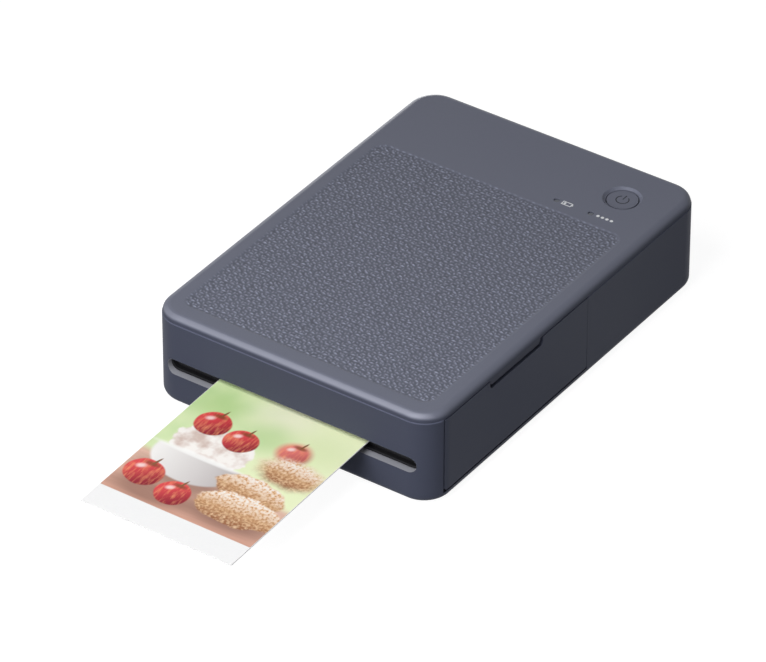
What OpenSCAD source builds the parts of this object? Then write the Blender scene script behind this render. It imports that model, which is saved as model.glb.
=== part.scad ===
// Compact dye-sublimation photo printer.
// X is the width, +Y points from the paper exit to the rear, +Z is up.
// The origin is the centre of the footprint on the surface it stands on.

/* [Body] */
// Width of the casing
body_w = 102.2; // [98:0.2:120]
// Depth of the casing beyond the length of the sheet
depth_margin = 37.8; // [36:0.2:60]
// Height of the casing without its feet
body_h = 31.9; // [31:0.1:38]
// Radius of the four upright corners
corner_r = 9.2; // [8:0.1:12]
// Rounding of the top edge
top_round = 2.5; // [1.9:0.1:3]
// Rounding of the bottom edge
bottom_round = 2.7; // [1.9:0.1:3]
// Thickness of the casing walls
wall = 1.8; // [1.4:0.1:2.2]
// Height of the top cover's rim
cover_h = 2.7; // [2.6:0.1:3.4]
// Step from the lower case's side in to the cover's side
shadow_step = 0.2; // [0.1:0.05:0.4]
// Bevel on the lower case's top edge and on the door's edges
edge_bevel = 0.2; // [0.1:0.05:0.3]
// Height of the rubber feet
foot_h = 1.0; // [0.6:0.1:2]
// Radius of a rubber foot
foot_r = 4.0; // [3:0.1:5]
// Distance of the feet from the sides and ends of the casing
foot_inset = 12.9; // [12:0.1:16]
// Seam between moving covers and the casing
seam = 0.3; // [0.2:0.05:0.5]

/* [Exit slot] */
// Width of the exit slot
slot_w = 90.2; // [80:0.2:92]
// Height of the exit slot
slot_h = 5.4; // [4.6:0.1:6]
// Height of the slot's middle above the table
slot_z = 14.5; // [13.5:0.1:15]
// Depth of the slot's lip
slot_lip = 2.4; // [2:0.1:3]
// Height of the dark throat behind the lip
throat_h = 3.8; // [3:0.1:4]

/* [Side door] */
// Front end of the door, from the front of the casing
door_front = 6.9; // [6.7:0.1:8]
// Length of the door
door_l = 75.0; // [70:0.2:78]
// Seam at the front end of the door
front_seam = 0.5; // [0.2:0.05:0.6]
// Seam at the rear end of the door
rear_seam = 0.15; // [0.1:0.05:0.4]
// Lower edge of the door above the bottom of the casing
door_sill = 3.2; // [2.9:0.1:4]
// Front end of the finger notch, from the front of the casing
notch_front = 29.9; // [20:0.1:36]
// Length of the finger notch
notch_l = 28.0; // [20:0.5:32]
// Depth of the finger notch below the cover
notch_h = 2.9; // [2.2:0.1:4]
// Radius of the notch's lower corners
notch_r = 1.4; // [0.8:0.1:1.6]
// Radius of the door's hinge pins
door_pin_r = 0.5; // [0.4:0.05:0.6]

/* [Controls] */
// Power button, distance from the right side
button_right = 18.1; // [16:0.1:24]
// Power button, distance from the rear
button_rear = 17.4; // [16:0.1:24]
// Radius of the button's hole
button_hole_r = 5.2; // [4:0.1:6]
// Radius of the dish around the button
dish_r = 6.2; // [6:0.1:7.4]
// Depth of the dish
dish_h = 0.75; // [0.4:0.05:1]
// Travel of the button
button_travel = 0.6; // [0.3:0.05:0.8]
// Radius of the lamp windows
lamp_r = 0.95; // [0.7:0.05:1.2]
// Distance of the lamp row from the rear
lamp_rear = 29.7; // [28:0.1:32]
// Distances of the two lamps from the right side
lamp_right = [21.5, 33.9];
// Smooth margin at the sides of the lid's relief
relief_side = 5.6; // [4:0.1:9]
// Smooth margin in front of the relief
relief_front = 6.4; // [4:0.1:9]
// Smooth band behind the relief
relief_rear = 33.9; // [32:0.1:40]
// Depth of the pocket that the relief fills
relief_h = 0.3; // [0.15:0.05:0.4]
// Corner radius of the relief
relief_r = 5.0; // [3:0.1:7]

/* [Print sheet] */
// Width of a sheet
sheet_w = 54.0; // [50:0.5:56]
// Length of a sheet with both tear-off tabs
sheet_l = 108.0; // [100:1:110]
// Thickness of a sheet
sheet_t = 0.3; // [0.25:0.01:0.4]
// Length of the sheet that stands out of the front
sheet_out = 66.8; // [50:0.1:70]
// Height of the sheet's middle at the front of the casing
sheet_z = 15.0; // [14.6:0.1:15.2]
// Slope of the sheet, downwards to the front, in degrees
sheet_tilt = 1.9; // [1:0.1:2.2]
// Height of the stack of blank sheets
stack_h = 2.0; // [1:0.1:2.2]

/* [Rollers] */
// Radius of the platen and grip rollers
roller_r = 4.0; // [3.5:0.1:4.2]
// Length of the rollers' rubber
roller_l = 60.0; // [57:0.5:62]
// Radius of the roller shafts
shaft_r = 1.5; // [1.2:0.1:1.8]
// Radius of the pinch roller
pinch_r = 2.5; // [2:0.1:2.6]
// Distance of the grip roller's axis behind the front
grip_in = 11.9; // [11.5:0.1:13]
// Distance from the grip roller's axis to the platen's axis
platen_pitch = 25.0; // [24.4:0.1:25.2]
// Radial clearance of a shaft in its bearing
run_gap = 0.05; // [0.03:0.01:0.08]
// Clearance between fixed parts that fit together
fit_gap = 0.1; // [0.05:0.05:0.2]
// Gap between rollers and sheet
nip_gap = 0.05; // [0.03:0.01:0.1]

/* [Gears] */
// Module of the gear teeth
gear_m = 0.6; // [0.58:0.01:0.6]
// Face width of the gears
gear_w = 2.4; // [2:0.1:2.8]
// Teeth of the two roller gears
roller_teeth = 20; // [20:1:20]
// Teeth of the gear between the rollers
idler_teeth = 22; // [22:1:22]
// Teeth of the gear that the motor turns
drive_teeth = 24; // [22:1:26]
// Teeth of the motor's pinion
pinion_teeth = 12; // [12:1:13]
// Teeth of the take-up spool's gear
takeup_teeth = 12; // [12:1:12]
// Play between the teeth, along the pitch circle
backlash = 0.14; // [0.1:0.01:0.2]

/* [Chassis] */
// Bay between the casing's side and each side plate, for gears and motors
gear_bay = 11.6; // [11:0.1:16]
// Thickness of the side plates
plate_t = 1.0; // [0.8:0.1:1.2]
// Radius of the motor
motor_r = 8.0; // [7:0.1:8.5]
// Length of the motor
motor_l = 6.0; // [5:0.1:6.2]

/* [Ink cassette] */
// Inner radius of the two ribbon chambers
chamber_r = 5.2; // [4.8:0.1:5.4]
// Wall of the ribbon chambers
chamber_wall = 0.8; // [0.6:0.1:0.9]
// Distance of the chambers' axes from one another
chamber_pitch = 36.4; // [35.6:0.2:38]
// Gap between the cassette's outer end and the door
cassette_gap = 6.3; // [5:0.1:9]
// Radius of the wound supply ribbon
supply_r = 4.2; // [3:0.1:4.4]
// Radius of the wound take-up ribbon
takeup_r = 3.2; // [3:0.1:4.2]
// Width of the ribbon
ribbon_w = 58.0; // [56:0.5:60]
// Thickness of the drawn ribbon
ribbon_t = 0.12; // [0.1:0.01:0.15]

/* [Paper hatch] */
// Width of the hatch under the casing
hatch_w = 60.0; // [58:0.5:62]
// Length of the hatch beyond the length of the sheet
hatch_margin = 5.5; // [3.5:0.5:6]
// Distance of the hatch's hinge axis from the rear
hatch_hinge_rear = 4.7; // [4.5:0.1:5.4]
// Radius of the hatch's hinge barrels
hatch_barrel_r = 1.1; // [0.95:0.05:1.2]

/* [Battery and board] */
// Width of the battery pack
battery_w = 54.0; // [40:0.5:56]
// Length of the battery pack along Y
battery_l = 34.0; // [28:0.5:36]
// Height of the battery pack
battery_h = 11.0; // [9:0.5:12]
// Thickness of the main board
board_t = 1.2; // [1:0.1:1.6]

/* [Hidden] */
body_d = sheet_l + depth_margin;
$fn = 48;

// A hair past a face, so that cuts leave no skin
eps = 0.02;

// Casing faces and levels
half_w = body_w / 2;
half_d = body_d / 2;
base_z = foot_h;
top_z = foot_h + body_h;
part_z = top_z - cover_h;
floor_z = base_z + wall;
ceiling_z = top_z - wall;
inner_x = half_w - wall;
inner_y = half_d - wall;
throat_wall = 1.2;
throat_l = 2.2;
throat_back_t = 0.6;
throat_exit_h = 2.0;
throat_y0 = -half_d + slot_lip + fit_gap;
throat_y1 = throat_y0 + throat_l;
boss_r = 2.0;
boss_inset = 6.1;
boss_gap = 0.8;
boss_low_z = slot_z - slot_h / 2 - throat_wall - boss_gap;
boss_high_z = slot_z + slot_h / 2 + throat_wall + boss_gap;
screw_r = 1.0;
screw_head_r = 1.8;
screw_head_h = 1.2;
screw_l = 24;

// Door faces, pivot and latch
door_y0 = -half_d + door_front;
door_y1 = door_y0 + door_l;
door_z0 = base_z + door_sill;
door_z1 = part_z - shadow_step;
pivot_x = inner_x - 0.4;
door_x1 = half_w;
pivot_z = door_z0 + door_x1 - pivot_x;
door_swing_r = sqrt(pow(door_x1 - pivot_x, 2) + pow(pivot_z - door_z0, 2));
door_swing_gap = 0.2;
door_corner_r = 1.0;
notch_y0 = -half_d + notch_front;
notch_y1 = notch_y0 + notch_l;
notch_z = part_z - notch_h;
ear_l = 2.4;
ear_r = 1.2;
lug_l = 1.2;
pin_y0 = door_y0 - front_seam - lug_l;
pin_y1 = door_y1 + rear_seam + lug_l;
lug_wall = 0.8;
tongue_gap = 0.7;
tongue_recess = 0.5;
tongue_t = 1.1;

// Sheet path: height of the sheet's middle at a depth y
function path_z(y) = sheet_z + (y + half_d) * tan(sheet_tilt);
roller_drop = (roller_r + sheet_t / 2 + nip_gap) / cos(sheet_tilt);
grip_y = -half_d + grip_in;
grip_z = path_z(grip_y) - roller_drop;
platen_y = grip_y + platen_pitch;
platen_z = path_z(platen_y) - roller_drop;
pinch_z = path_z(grip_y) + (pinch_r + sheet_t / 2 + nip_gap) / cos(sheet_tilt);

// Gear train: pitch radii and centres in the plane across X
function pitch_r(teeth) = gear_m * teeth / 2;
mesh_a = pitch_r(roller_teeth) + pitch_r(idler_teeth);
roller_span = sqrt(pow(platen_y - grip_y, 2) + pow(platen_z - grip_z, 2));
roller_slope = atan2(platen_z - grip_z, platen_y - grip_y);
idler_rise = sqrt(max(0, pow(mesh_a, 2) - pow(roller_span / 2, 2)));
idler_y = (grip_y + platen_y) / 2 - idler_rise * sin(roller_slope);
idler_z = (grip_z + platen_z) / 2 + idler_rise * cos(roller_slope);
takeup_a = pitch_r(idler_teeth) + pitch_r(takeup_teeth);
takeup_lean = 100;
takeup_y = idler_y + takeup_a * cos(takeup_lean);
takeup_z = idler_z + takeup_a * sin(takeup_lean);
drive_a = pitch_r(roller_teeth) + pitch_r(drive_teeth);
drive_lean = 10;
drive_y = platen_y + drive_a * cos(drive_lean);
drive_z = platen_z + drive_a * sin(drive_lean);
motor_a = pitch_r(drive_teeth) + pitch_r(pinion_teeth);
motor_y = drive_y + motor_a;
motor_z = drive_z;

// Planes across the width
battery_x0 = -inner_x + 5.3;
battery_y0 = inner_y - 6.1 - battery_l;
plate_y1 = battery_y0 - 5;
chassis_w = body_w - 2 * gear_bay;
plate_x = chassis_w / 2;
gear_x1 = -plate_x - 0.4;
gear_x0 = gear_x1 - gear_w;
motor_x1 = gear_x0 - 0.5;
motor_x0 = motor_x1 - motor_l;

// Cassette
chamber_out_r = chamber_r + chamber_wall;
supply_y = takeup_y + chamber_pitch;
supply_z = takeup_z;
cassette_x0 = -plate_x + plate_t + 1.5;
cassette_x1 = inner_x - cassette_gap;
spool_core_r = 2.2;
ribbon_lift = sheet_t / 2 + 0.25;

// Print head and its pivot
head_pivot_y = supply_y - 8.4;
head_pivot_z = ceiling_z - 2.5;
head_pivot_r = 1.25;
head_l = ribbon_w;

// Paper hatch and tray
hatch_pivot_y = half_d - hatch_hinge_rear;
hatch_pivot_z = base_z + hatch_barrel_r;
hatch_y1 = hatch_pivot_y - hatch_barrel_r - seam;
hatch_l = sheet_l + hatch_margin;
hatch_y0 = hatch_y1 - hatch_l;
hatch_swing_gap = 0.35;
stack_y1 = hatch_y1 - 2;
stack_y0 = stack_y1 - sheet_l;
tray_z = floor_z + 0.8;
tray_t = 0.6;
stack_z = tray_z + tray_t;

// Controls
button_x = half_w - button_right;
button_y = half_d - button_rear;
button_top_z = top_z - dish_h + 0.1;
button_gap = 0.3;
button_flange_r = button_hole_r + 0.7;
button_flange_z = ceiling_z - 1.2;
button_flange_t = 0.7;
button_stem_r = 1.2;
switch_h = 1.8;
switch_w = 6;
lamp_y = half_d - lamp_rear;
board_z = part_z - 4.6;
board_y0 = plate_y1 + 1;
board_y1 = inner_y - 3;
board_x = inner_x - 9.3;
switch_z1 = board_z + board_t + switch_h;
usb_x = -20;
usb_w = 9.0;
usb_h = 3.3;
usb_z = board_z - usb_h / 2;
usb_l = 7.5;

// Hatch hinge and tray
hatch_edge_x = hatch_w / 2 + seam;
hatch_l_cut = hatch_pivot_y + hatch_barrel_r + seam - hatch_y0 + hatch_swing_gap;
hatch_pin_r = 0.5;
hatch_knuckle_x = hatch_edge_x - 4;
hatch_barrel_x = hatch_knuckle_x - 6;
tray_w = sheet_w + 1;
tray_ear_x = hatch_w / 2 - 1.2;
tray_ear_t = 1.2;
tray_ear_r = 0.9;
tray_pin_r = 0.3;
tray_pivot_y = stack_y1;
tray_pivot_z = tray_z + tray_t / 2;
ramp_y1 = hatch_y0 - hatch_swing_gap - 0.6;
ramp_y0 = ramp_y1 - 7;
ramp_top_z = floor_z + 5;

// Door ears and latch
ear_in = 0.4;
latch_t = 0.8;
latch_w = 6;
latch_h = 4;
latch_hook = 1.0;
latch_z = notch_z - 5;
screw_top_z = base_z + 0.2 + screw_l;

// Battery, clear above the tray
battery_z0 = stack_z + stack_h + 3.3;

// Chassis outline
plate_y0 = throat_y1 + 0.3;
plate_top_z = ceiling_z - 2;
bay_gap = 0.6;
arm_h = 1.2;
stud_r = 1.2;
pinch_shaft_r = 1.0;
head_ear_r = 2.0;
cable_t = 0.2;
motor_shaft_r = 0.8;

// Pickup roller above the middle of the stack
pickup_y = plate_y1 - 6;
pickup_r = 4.0;
pickup_l = 24;
pickup_lift = 0.5;
pickup_z = stack_z + stack_h + pickup_lift + pickup_r;
pickup_motor_r = 5;

// Gear phases, passed on from mesh to mesh
pressure = 20;
platen_phase = 0;
idler_line = atan2(idler_z - platen_z, idler_y - platen_y);
idler_phase = meshed(idler_teeth, roller_teeth, platen_phase, idler_line);
grip_line = atan2(grip_z - idler_z, grip_y - idler_y);
grip_phase = meshed(roller_teeth, idler_teeth, idler_phase, grip_line);
takeup_phase = meshed(takeup_teeth, idler_teeth, idler_phase, takeup_lean);
drive_phase = meshed(drive_teeth, roller_teeth, platen_phase, drive_lean);
pinion_phase = meshed(pinion_teeth, drive_teeth, drive_phase, 0);

// Head and heat sink
glaze_r = 1.5;
head_t = 1.7;
head_front = 3.5;
head_back = 6;
head_z = path_z(platen_y) + ribbon_lift + ribbon_t + 0.1;
sink_z = head_z + glaze_r + head_t;
bracket_t = 1.2;
sink_h = head_pivot_z - 3.6 - sink_z;
fin_t = 0.9;
fin_count = 5;

// Cassette ends, spools and the ribbon's way past the head
end_t = 1.2;
rail_h = 1.6;
spool_in = 1.6;
slit_out = chamber_out_r + 0.3;
slit_mid = chamber_r + chamber_wall / 2;
exit_lean = 50;
function around(y, z, r, a) = [y + r * cos(a), z + r * sin(a)];
takeup_tangent_r = takeup_r + 0.05 + ribbon_t;
supply_tangent_r = supply_r + 0.05 + ribbon_t;
takeup_turn = -exit_lean + acos(takeup_tangent_r / slit_out);
supply_turn = 180 + exit_lean + acos(supply_tangent_r / slit_out);
takeup_slit = takeup_turn - acos(takeup_tangent_r / slit_mid);
supply_slit = supply_turn - acos(supply_tangent_r / slit_mid);
ribbon_path = [
    around(takeup_y, takeup_z, takeup_tangent_r, takeup_turn),
    around(takeup_y, takeup_z, slit_out, -exit_lean),
    [platen_y - 0.5, path_z(platen_y) + ribbon_lift],
    [platen_y + 0.5, path_z(platen_y) + ribbon_lift],
    around(supply_y, supply_z, slit_out, 180 + exit_lean),
    around(supply_y, supply_z, supply_tangent_r, supply_turn)
];

// ---- shared shapes ----

// Half of the upright outline through a rounded corner, out to radius r
module edge_outline(r, h, bottom_r, top_r) {
    square([r - max(bottom_r, top_r), h]);
    square([r - bottom_r, h / 2]);
    translate([0, h / 2]) square([r - top_r, h / 2]);
    translate([0, bottom_r]) square([r, h - bottom_r - top_r]);
    translate([r - bottom_r, bottom_r]) circle(r = bottom_r);
    translate([r - top_r, h - top_r]) circle(r = top_r);
}

// Carries a profile from 0 to r round the sides of a rectangle with round corners
module around_corners(w, d, r) {
    cx = w / 2 - r;
    cy = d / 2 - r;
    for (q = [0 : 3])
        rotate([0, 0, 90 * q]) {
            x = q % 2 == 0 ? cx : cy;
            y = q % 2 == 0 ? cy : cx;
            translate([x, y, 0]) rotate_extrude(angle = 90, $fn = 96) children();
            translate([x, y, 0]) rotate([90, 0, 0]) linear_extrude(height = 2 * y) children();
        }
}

// Block with round upright corners and rounded top and bottom edges
module rounded_block(w, d, h, r, bottom_r, top_r) {
    translate([r - w / 2, r - d / 2, 0]) cube([w - 2 * r, d - 2 * r, h]);
    around_corners(w, d, r) edge_outline(r, h, bottom_r, top_r);
}

// The casing's outer form
module casing_outer(step) {
    translate([0, 0, base_z])
        rounded_block(body_w - 2 * step, body_d - 2 * step, body_h, corner_r - step,
            bottom_round, top_round);
}

// The lower case's and door's outer form, with a bevelled top edge
module case_outer() {
    h = part_z - base_z;
    flat = corner_r - bottom_round;
    translate([0, 0, base_z]) {
        translate([corner_r - half_w, corner_r - half_d, 0])
            cube([body_w - 2 * corner_r, body_d - 2 * corner_r, h]);
        around_corners(body_w, body_d, corner_r) {
            polygon([[0, 0], [flat, 0], [flat, bottom_round], [corner_r, bottom_round],
                [corner_r, h - edge_bevel], [corner_r - edge_bevel, h], [0, h]]);
            translate([flat, bottom_round]) circle(r = bottom_round);
        }
    }
}

// The hollow inside the casing
module casing_inner() {
    translate([0, 0, floor_z])
        rounded_block(body_w - 2 * wall, body_d - 2 * wall, body_h - 2 * wall,
            corner_r - wall, bottom_round - wall + 0.4, top_round - wall + 0.4);
}

// Everything between two heights
module slab(z0, z1) {
    translate([-body_w, -body_d, z0]) cube([2 * body_w, 2 * body_d, z1 - z0]);
}

// Upright prism with round corners in the YZ plane, between two x positions
module side_panel(x0, x1, y0, y1, z0, z1, r) {
    translate([x0, 0, 0]) rotate([90, 0, 90]) linear_extrude(height = x1 - x0) {
        translate([y0, z0 + r]) square([y1 - y0, z1 - z0 - r]);
        translate([y0 + r, z0]) square([y1 - y0 - 2 * r, z1 - z0]);
        translate([y0 + r, z0 + r]) circle(r = r);
        translate([y1 - r, z0 + r]) circle(r = r);
    }
}

// Slot-shaped prism along Y with round ends
module stadium(w, h, y0, y1, z) {
    translate([0, y1, z]) rotate([90, 0, 0]) linear_extrude(height = y1 - y0) {
        square([w - h, h], center = true);
        for (s = [-1, 1]) translate([s * (w - h) / 2, 0]) circle(r = h / 2);
    }
}

// Cylinder along X between two x positions
module bar_x(x0, x1, y, z, r) {
    translate([x0, y, z]) rotate([0, 90, 0]) cylinder(h = x1 - x0, r = r);
}

// Cylinder along Y between two y positions
module bar_y(y0, y1, x, z, r) {
    translate([x, y0, z]) rotate([-90, 0, 0]) cylinder(h = y1 - y0, r = r);
}

// The four places near the corners, at a distance from sides and ends
module at_corners(inset) {
    for (sx = [-1, 1], sy = [-1, 1])
        translate([sx * (half_w - inset), sy * (half_d - inset), 0]) children();
}

// ---- casing ----

// Opening in the right side that the door closes
module door_opening() {
    y0 = door_y0 - front_seam;
    y1 = door_y1 + rear_seam;
    side_panel(pivot_x - 4, half_w + 1, y0, y1, door_z0 - seam, part_z + 1,
        door_corner_r + seam);
    bar_y(y0, y1, pivot_x, pivot_z, door_swing_r + door_swing_gap);
}

// Bearing lug for a door pin, between two depths
module door_lug(y0) {
    r = door_pin_r + lug_wall;
    intersection() {
        union() {
            bar_y(y0, y0 + lug_l, pivot_x, pivot_z, r);
            translate([pivot_x - r, y0, floor_z - eps]) cube([2 * r, lug_l, pivot_z - floor_z]);
        }
        case_outer();
    }
}

// Knuckle on the floor that holds a hatch pin
module hatch_knuckle(side) {
    x0 = side > 0 ? hatch_knuckle_x : -hatch_edge_x - eps;
    x1 = side > 0 ? hatch_edge_x + eps : -hatch_knuckle_x;
    bar_x(x0, x1, hatch_pivot_y, hatch_pivot_z, hatch_barrel_r);
}

module lower_case() {
    color([0.25, 0.26, 0.31]) difference() {
        union() {
            difference() {
                case_outer();
                casing_inner();
                door_opening();
                translate([-hatch_edge_x, hatch_y0 - hatch_swing_gap, 0])
                    cube([2 * hatch_edge_x, hatch_l_cut, floor_z + eps]);
            }
            stadium(slot_w + 2 * throat_wall, slot_h + 2 * throat_wall,
                -inner_y - eps, -half_d + slot_lip, slot_z);
            at_corners(boss_inset) translate([0, 0, floor_z - eps])
                cylinder(h = boss_low_z - floor_z, r = boss_r);
            door_lug(pin_y0);
            door_lug(pin_y1 - lug_l);
            for (side = [-1, 1]) hatch_knuckle(side);
            translate([usb_x - usb_w / 2 - 1.5, inner_y - 1.2, usb_z - usb_h / 2 - 1])
                cube([usb_w + 3, 1.2 + eps, usb_h + 2]);
        }
        stadium(slot_w, slot_h, -half_d - 1, -half_d + slot_lip + 1, slot_z);
        at_corners(boss_inset) cylinder(h = part_z, r = screw_r);
        at_corners(boss_inset) cylinder(h = base_z + screw_head_h, r = screw_head_r + fit_gap);
        bar_y(pin_y0, pin_y1, pivot_x, pivot_z, door_pin_r);
        bar_x(-hatch_edge_x - 0.5, hatch_edge_x + 0.5, hatch_pivot_y, hatch_pivot_z,
            hatch_pin_r);
        translate([usb_x, 0, 0])
            stadium(usb_w + 2 * fit_gap, usb_h + 2 * fit_gap, inner_y - 2, half_d + 1, usb_z);
    }
}

// Rounded outline of the lid's relief, seen from above
module relief_outline() {
    x1 = half_w - relief_side;
    y0 = -half_d + relief_front;
    y1 = half_d - relief_rear;
    translate([-x1 + relief_r, y0]) square([2 * (x1 - relief_r), y1 - y0]);
    translate([-x1, y0 + relief_r]) square([2 * x1, y1 - y0 - 2 * relief_r]);
    for (x = [-x1 + relief_r, x1 - relief_r], y = [y0 + relief_r, y1 - relief_r])
        translate([x, y]) circle(r = relief_r);
}

module top_cover() {
    color([0.37, 0.38, 0.42]) difference() {
        union() {
            difference() {
                intersection() {
                    casing_outer(shadow_step);
                    slab(part_z, top_z + 1);
                }
                casing_inner();
            }
            at_corners(boss_inset) translate([0, 0, boss_high_z])
                cylinder(h = ceiling_z - boss_high_z + eps, r = boss_r);
            side_panel(door_x1 - tongue_recess - tongue_t, door_x1 - tongue_recess,
                notch_y0 + tongue_gap, notch_y1 - tongue_gap,
                notch_z + tongue_gap, part_z + eps, notch_r);
        }
        translate([0, 0, top_z - relief_h]) linear_extrude(height = relief_h + eps)
            relief_outline();
        at_corners(boss_inset) cylinder(h = screw_top_z + 1, r = screw_r);
        translate([button_x, button_y, top_z - dish_h])
            cylinder(h = dish_h + eps, r1 = dish_r - dish_h, r2 = dish_r);
        translate([button_x, button_y, ceiling_z - 1]) cylinder(h = wall + 2, r = button_hole_r);
        for (right = lamp_right) translate([half_w - right, lamp_y, ceiling_z - 1])
            cylinder(h = wall + 2, r = lamp_r + fit_gap);
    }
}

module side_door() {
    color([0.2, 0.21, 0.25]) difference() {
        union() {
            difference() {
                intersection() {
                    case_outer();
                    side_panel(pivot_x - 4, half_w + 1, door_y0, door_y1, door_z0, door_z1,
                        door_corner_r);
                }
                casing_inner();
                door_bevels();
                side_panel(pivot_x - 4, half_w + 1, notch_y0, notch_y1, notch_z, part_z + 1,
                    notch_r);
            }
            bar_y(door_y0 + ear_in, door_y0 + ear_in + ear_l, pivot_x, pivot_z, ear_r);
            bar_y(door_y1 - ear_in - ear_l, door_y1 - ear_in, pivot_x, pivot_z, ear_r);
        }
        bar_y(door_y0 - 1, door_y1 + 1, pivot_x, pivot_z, door_pin_r + run_gap);
    }
}

// Cuts the bevels of the door's front end and its foot
module door_bevels() {
    b = edge_bevel / sqrt(2);
    translate([door_x1, door_y0, door_z0 - 1]) rotate([0, 0, 45])
        translate([-b, -b, 0]) cube([2 * b, 2 * b, door_z1 - door_z0 + 2]);
    translate([door_x1, door_y0 - 1, door_z0]) rotate([0, 45, 0])
        translate([-b, 0, -b]) cube([2 * b, door_l + 2, 2 * b]);
}

module door_hinge_pins() {
    color("silver") {
        bar_y(pin_y0, door_y0 + ear_in + ear_l, pivot_x, pivot_z, door_pin_r);
        bar_y(door_y1 - ear_in - ear_l, pin_y1, pivot_x, pivot_z, door_pin_r);
    }
}

module door_latch() {
    y = (notch_y0 + notch_y1) / 2;
    color([0.12, 0.12, 0.14]) translate([inner_x - latch_t, y - latch_w / 2, latch_z]) {
        cube([latch_t, latch_w, latch_h]);
        translate([-latch_hook, 0, latch_h - 1]) cube([latch_hook + eps, latch_w, 1]);
    }
}

module slot_throat() {
    color([0.05, 0.05, 0.06]) difference() {
        intersection() {
            stadium(slot_w + 2 * throat_wall, slot_h + 2 * throat_wall, throat_y0, throat_y1,
                slot_z);
            casing_inner();
        }
        stadium(slot_w - throat_wall, throat_h, throat_y0 - 1, throat_y1 - throat_back_t,
            slot_z);
        stadium(sheet_w + throat_exit_h + 1, throat_exit_h, throat_y0, throat_y1 + 1,
            path_z(throat_y1));
    }
}

module paper_hatch() {
    color([0.22, 0.23, 0.27]) difference() {
        union() {
            translate([-hatch_w / 2, hatch_y0, base_z]) cube([hatch_w, hatch_l, wall]);
            for (side = [-1, 1]) {
                x0 = side > 0 ? hatch_barrel_x : -hatch_knuckle_x + seam;
                bar_x(x0, x0 + hatch_knuckle_x - seam - hatch_barrel_x,
                    hatch_pivot_y, hatch_pivot_z, hatch_barrel_r);
                translate([x0, hatch_y1 - eps, base_z])
                    cube([hatch_knuckle_x - seam - hatch_barrel_x,
                        hatch_pivot_y - hatch_y1 + eps, wall - 0.3]);
                translate([side * tray_ear_x - tray_ear_t / 2, tray_pivot_y - tray_ear_r,
                    floor_z - eps]) cube([tray_ear_t, 2 * tray_ear_r, tray_pivot_z - floor_z]);
                bar_x(side * tray_ear_x - tray_ear_t / 2, side * tray_ear_x + tray_ear_t / 2,
                    tray_pivot_y, tray_pivot_z, tray_ear_r);
            }
        }
        bar_x(-hatch_w, hatch_w, hatch_pivot_y, hatch_pivot_z, hatch_pin_r + run_gap);
        bar_x(-hatch_w, hatch_w, tray_pivot_y, tray_pivot_z, tray_pin_r + run_gap);
        translate([-8, hatch_y0 - 1, base_z - eps]) cube([16, 3, 0.8]);
    }
}

module hatch_hinge_pins() {
    color("silver") for (side = [-1, 1]) {
        x0 = side > 0 ? hatch_barrel_x : -hatch_edge_x - 0.4;
        bar_x(x0, x0 + hatch_edge_x + 0.4 - hatch_barrel_x, hatch_pivot_y, hatch_pivot_z,
            hatch_pin_r);
    }
}

// ---- paper ----

module lift_plate() {
    color("gray") {
        translate([-tray_w / 2, stack_y0 - 0.5, tray_z])
            cube([tray_w, tray_pivot_y - stack_y0 + 1, tray_t]);
        bar_x(-tray_ear_x - tray_ear_t / 2, tray_ear_x + tray_ear_t / 2,
            tray_pivot_y, tray_pivot_z, tray_pin_r);
    }
}

module paper_stack() {
    color("white") translate([-sheet_w / 2, stack_y0, stack_z])
        cube([sheet_w, tray_pivot_y + 0.5 - stack_y0, stack_h]);
}

module printed_sheet() {
    color("white") translate([0, -half_d, sheet_z]) rotate([sheet_tilt, 0, 0])
        translate([-sheet_w / 2, -sheet_out / cos(sheet_tilt), -sheet_t / 2])
            cube([sheet_w, sheet_l, sheet_t]);
}

module feed_ramp() {
    color([0.1, 0.1, 0.11]) translate([-sheet_w / 2, 0, 0]) rotate([90, 0, 90])
        linear_extrude(height = sheet_w)
            polygon([[ramp_y0, floor_z], [ramp_y1, floor_z], [ramp_y1, floor_z + 0.6],
                [ramp_y0 + 1, ramp_top_z], [ramp_y0, ramp_top_z]]);
}

// ---- feet, screws, controls ----

module rubber_feet() {
    color([0.1, 0.1, 0.1]) at_corners(foot_inset) cylinder(h = foot_h, r = foot_r);
}

module case_screws() {
    color("silver") at_corners(boss_inset) translate([0, 0, base_z + 0.2]) difference() {
        union() {
            cylinder(h = screw_l, r = screw_r);
            cylinder(h = screw_head_h - 0.2, r = screw_head_r);
        }
        for (turn = [0, 90]) rotate([0, 0, turn]) translate([-1, -0.2, -eps]) cube([2, 0.4, 0.5]);
    }
}

module power_button() {
    color([0.33, 0.34, 0.38]) translate([button_x, button_y, 0]) {
        translate([0, 0, button_flange_z])
            cylinder(h = button_top_z - button_flange_z, r = button_hole_r - button_gap);
        translate([0, 0, button_flange_z]) cylinder(h = button_flange_t, r = button_flange_r);
        translate([0, 0, switch_z1 + button_travel + fit_gap])
            cylinder(h = button_flange_z - switch_z1 - button_travel - fit_gap + eps,
                r = button_stem_r);
    }
}

module power_switch() {
    color([0.2, 0.2, 0.2]) translate([button_x - switch_w / 2, button_y - switch_w / 2,
        board_z + board_t]) cube([switch_w, switch_w, switch_h]);
}

module lamp_windows() {
    color("white") for (right = lamp_right) translate([half_w - right, lamp_y, 0]) {
        translate([0, 0, board_z + board_t])
            cylinder(h = top_z - 0.3 - board_z - board_t, r = lamp_r);
        translate([0, 0, ceiling_z - 0.8]) cylinder(h = 0.8, r = lamp_r + 0.6);
    }
}

module battery_pack() {
    color([0.1, 0.1, 0.12]) translate([battery_x0, battery_y0, battery_z0])
        cube([battery_w, battery_l, battery_h]);
}

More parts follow.
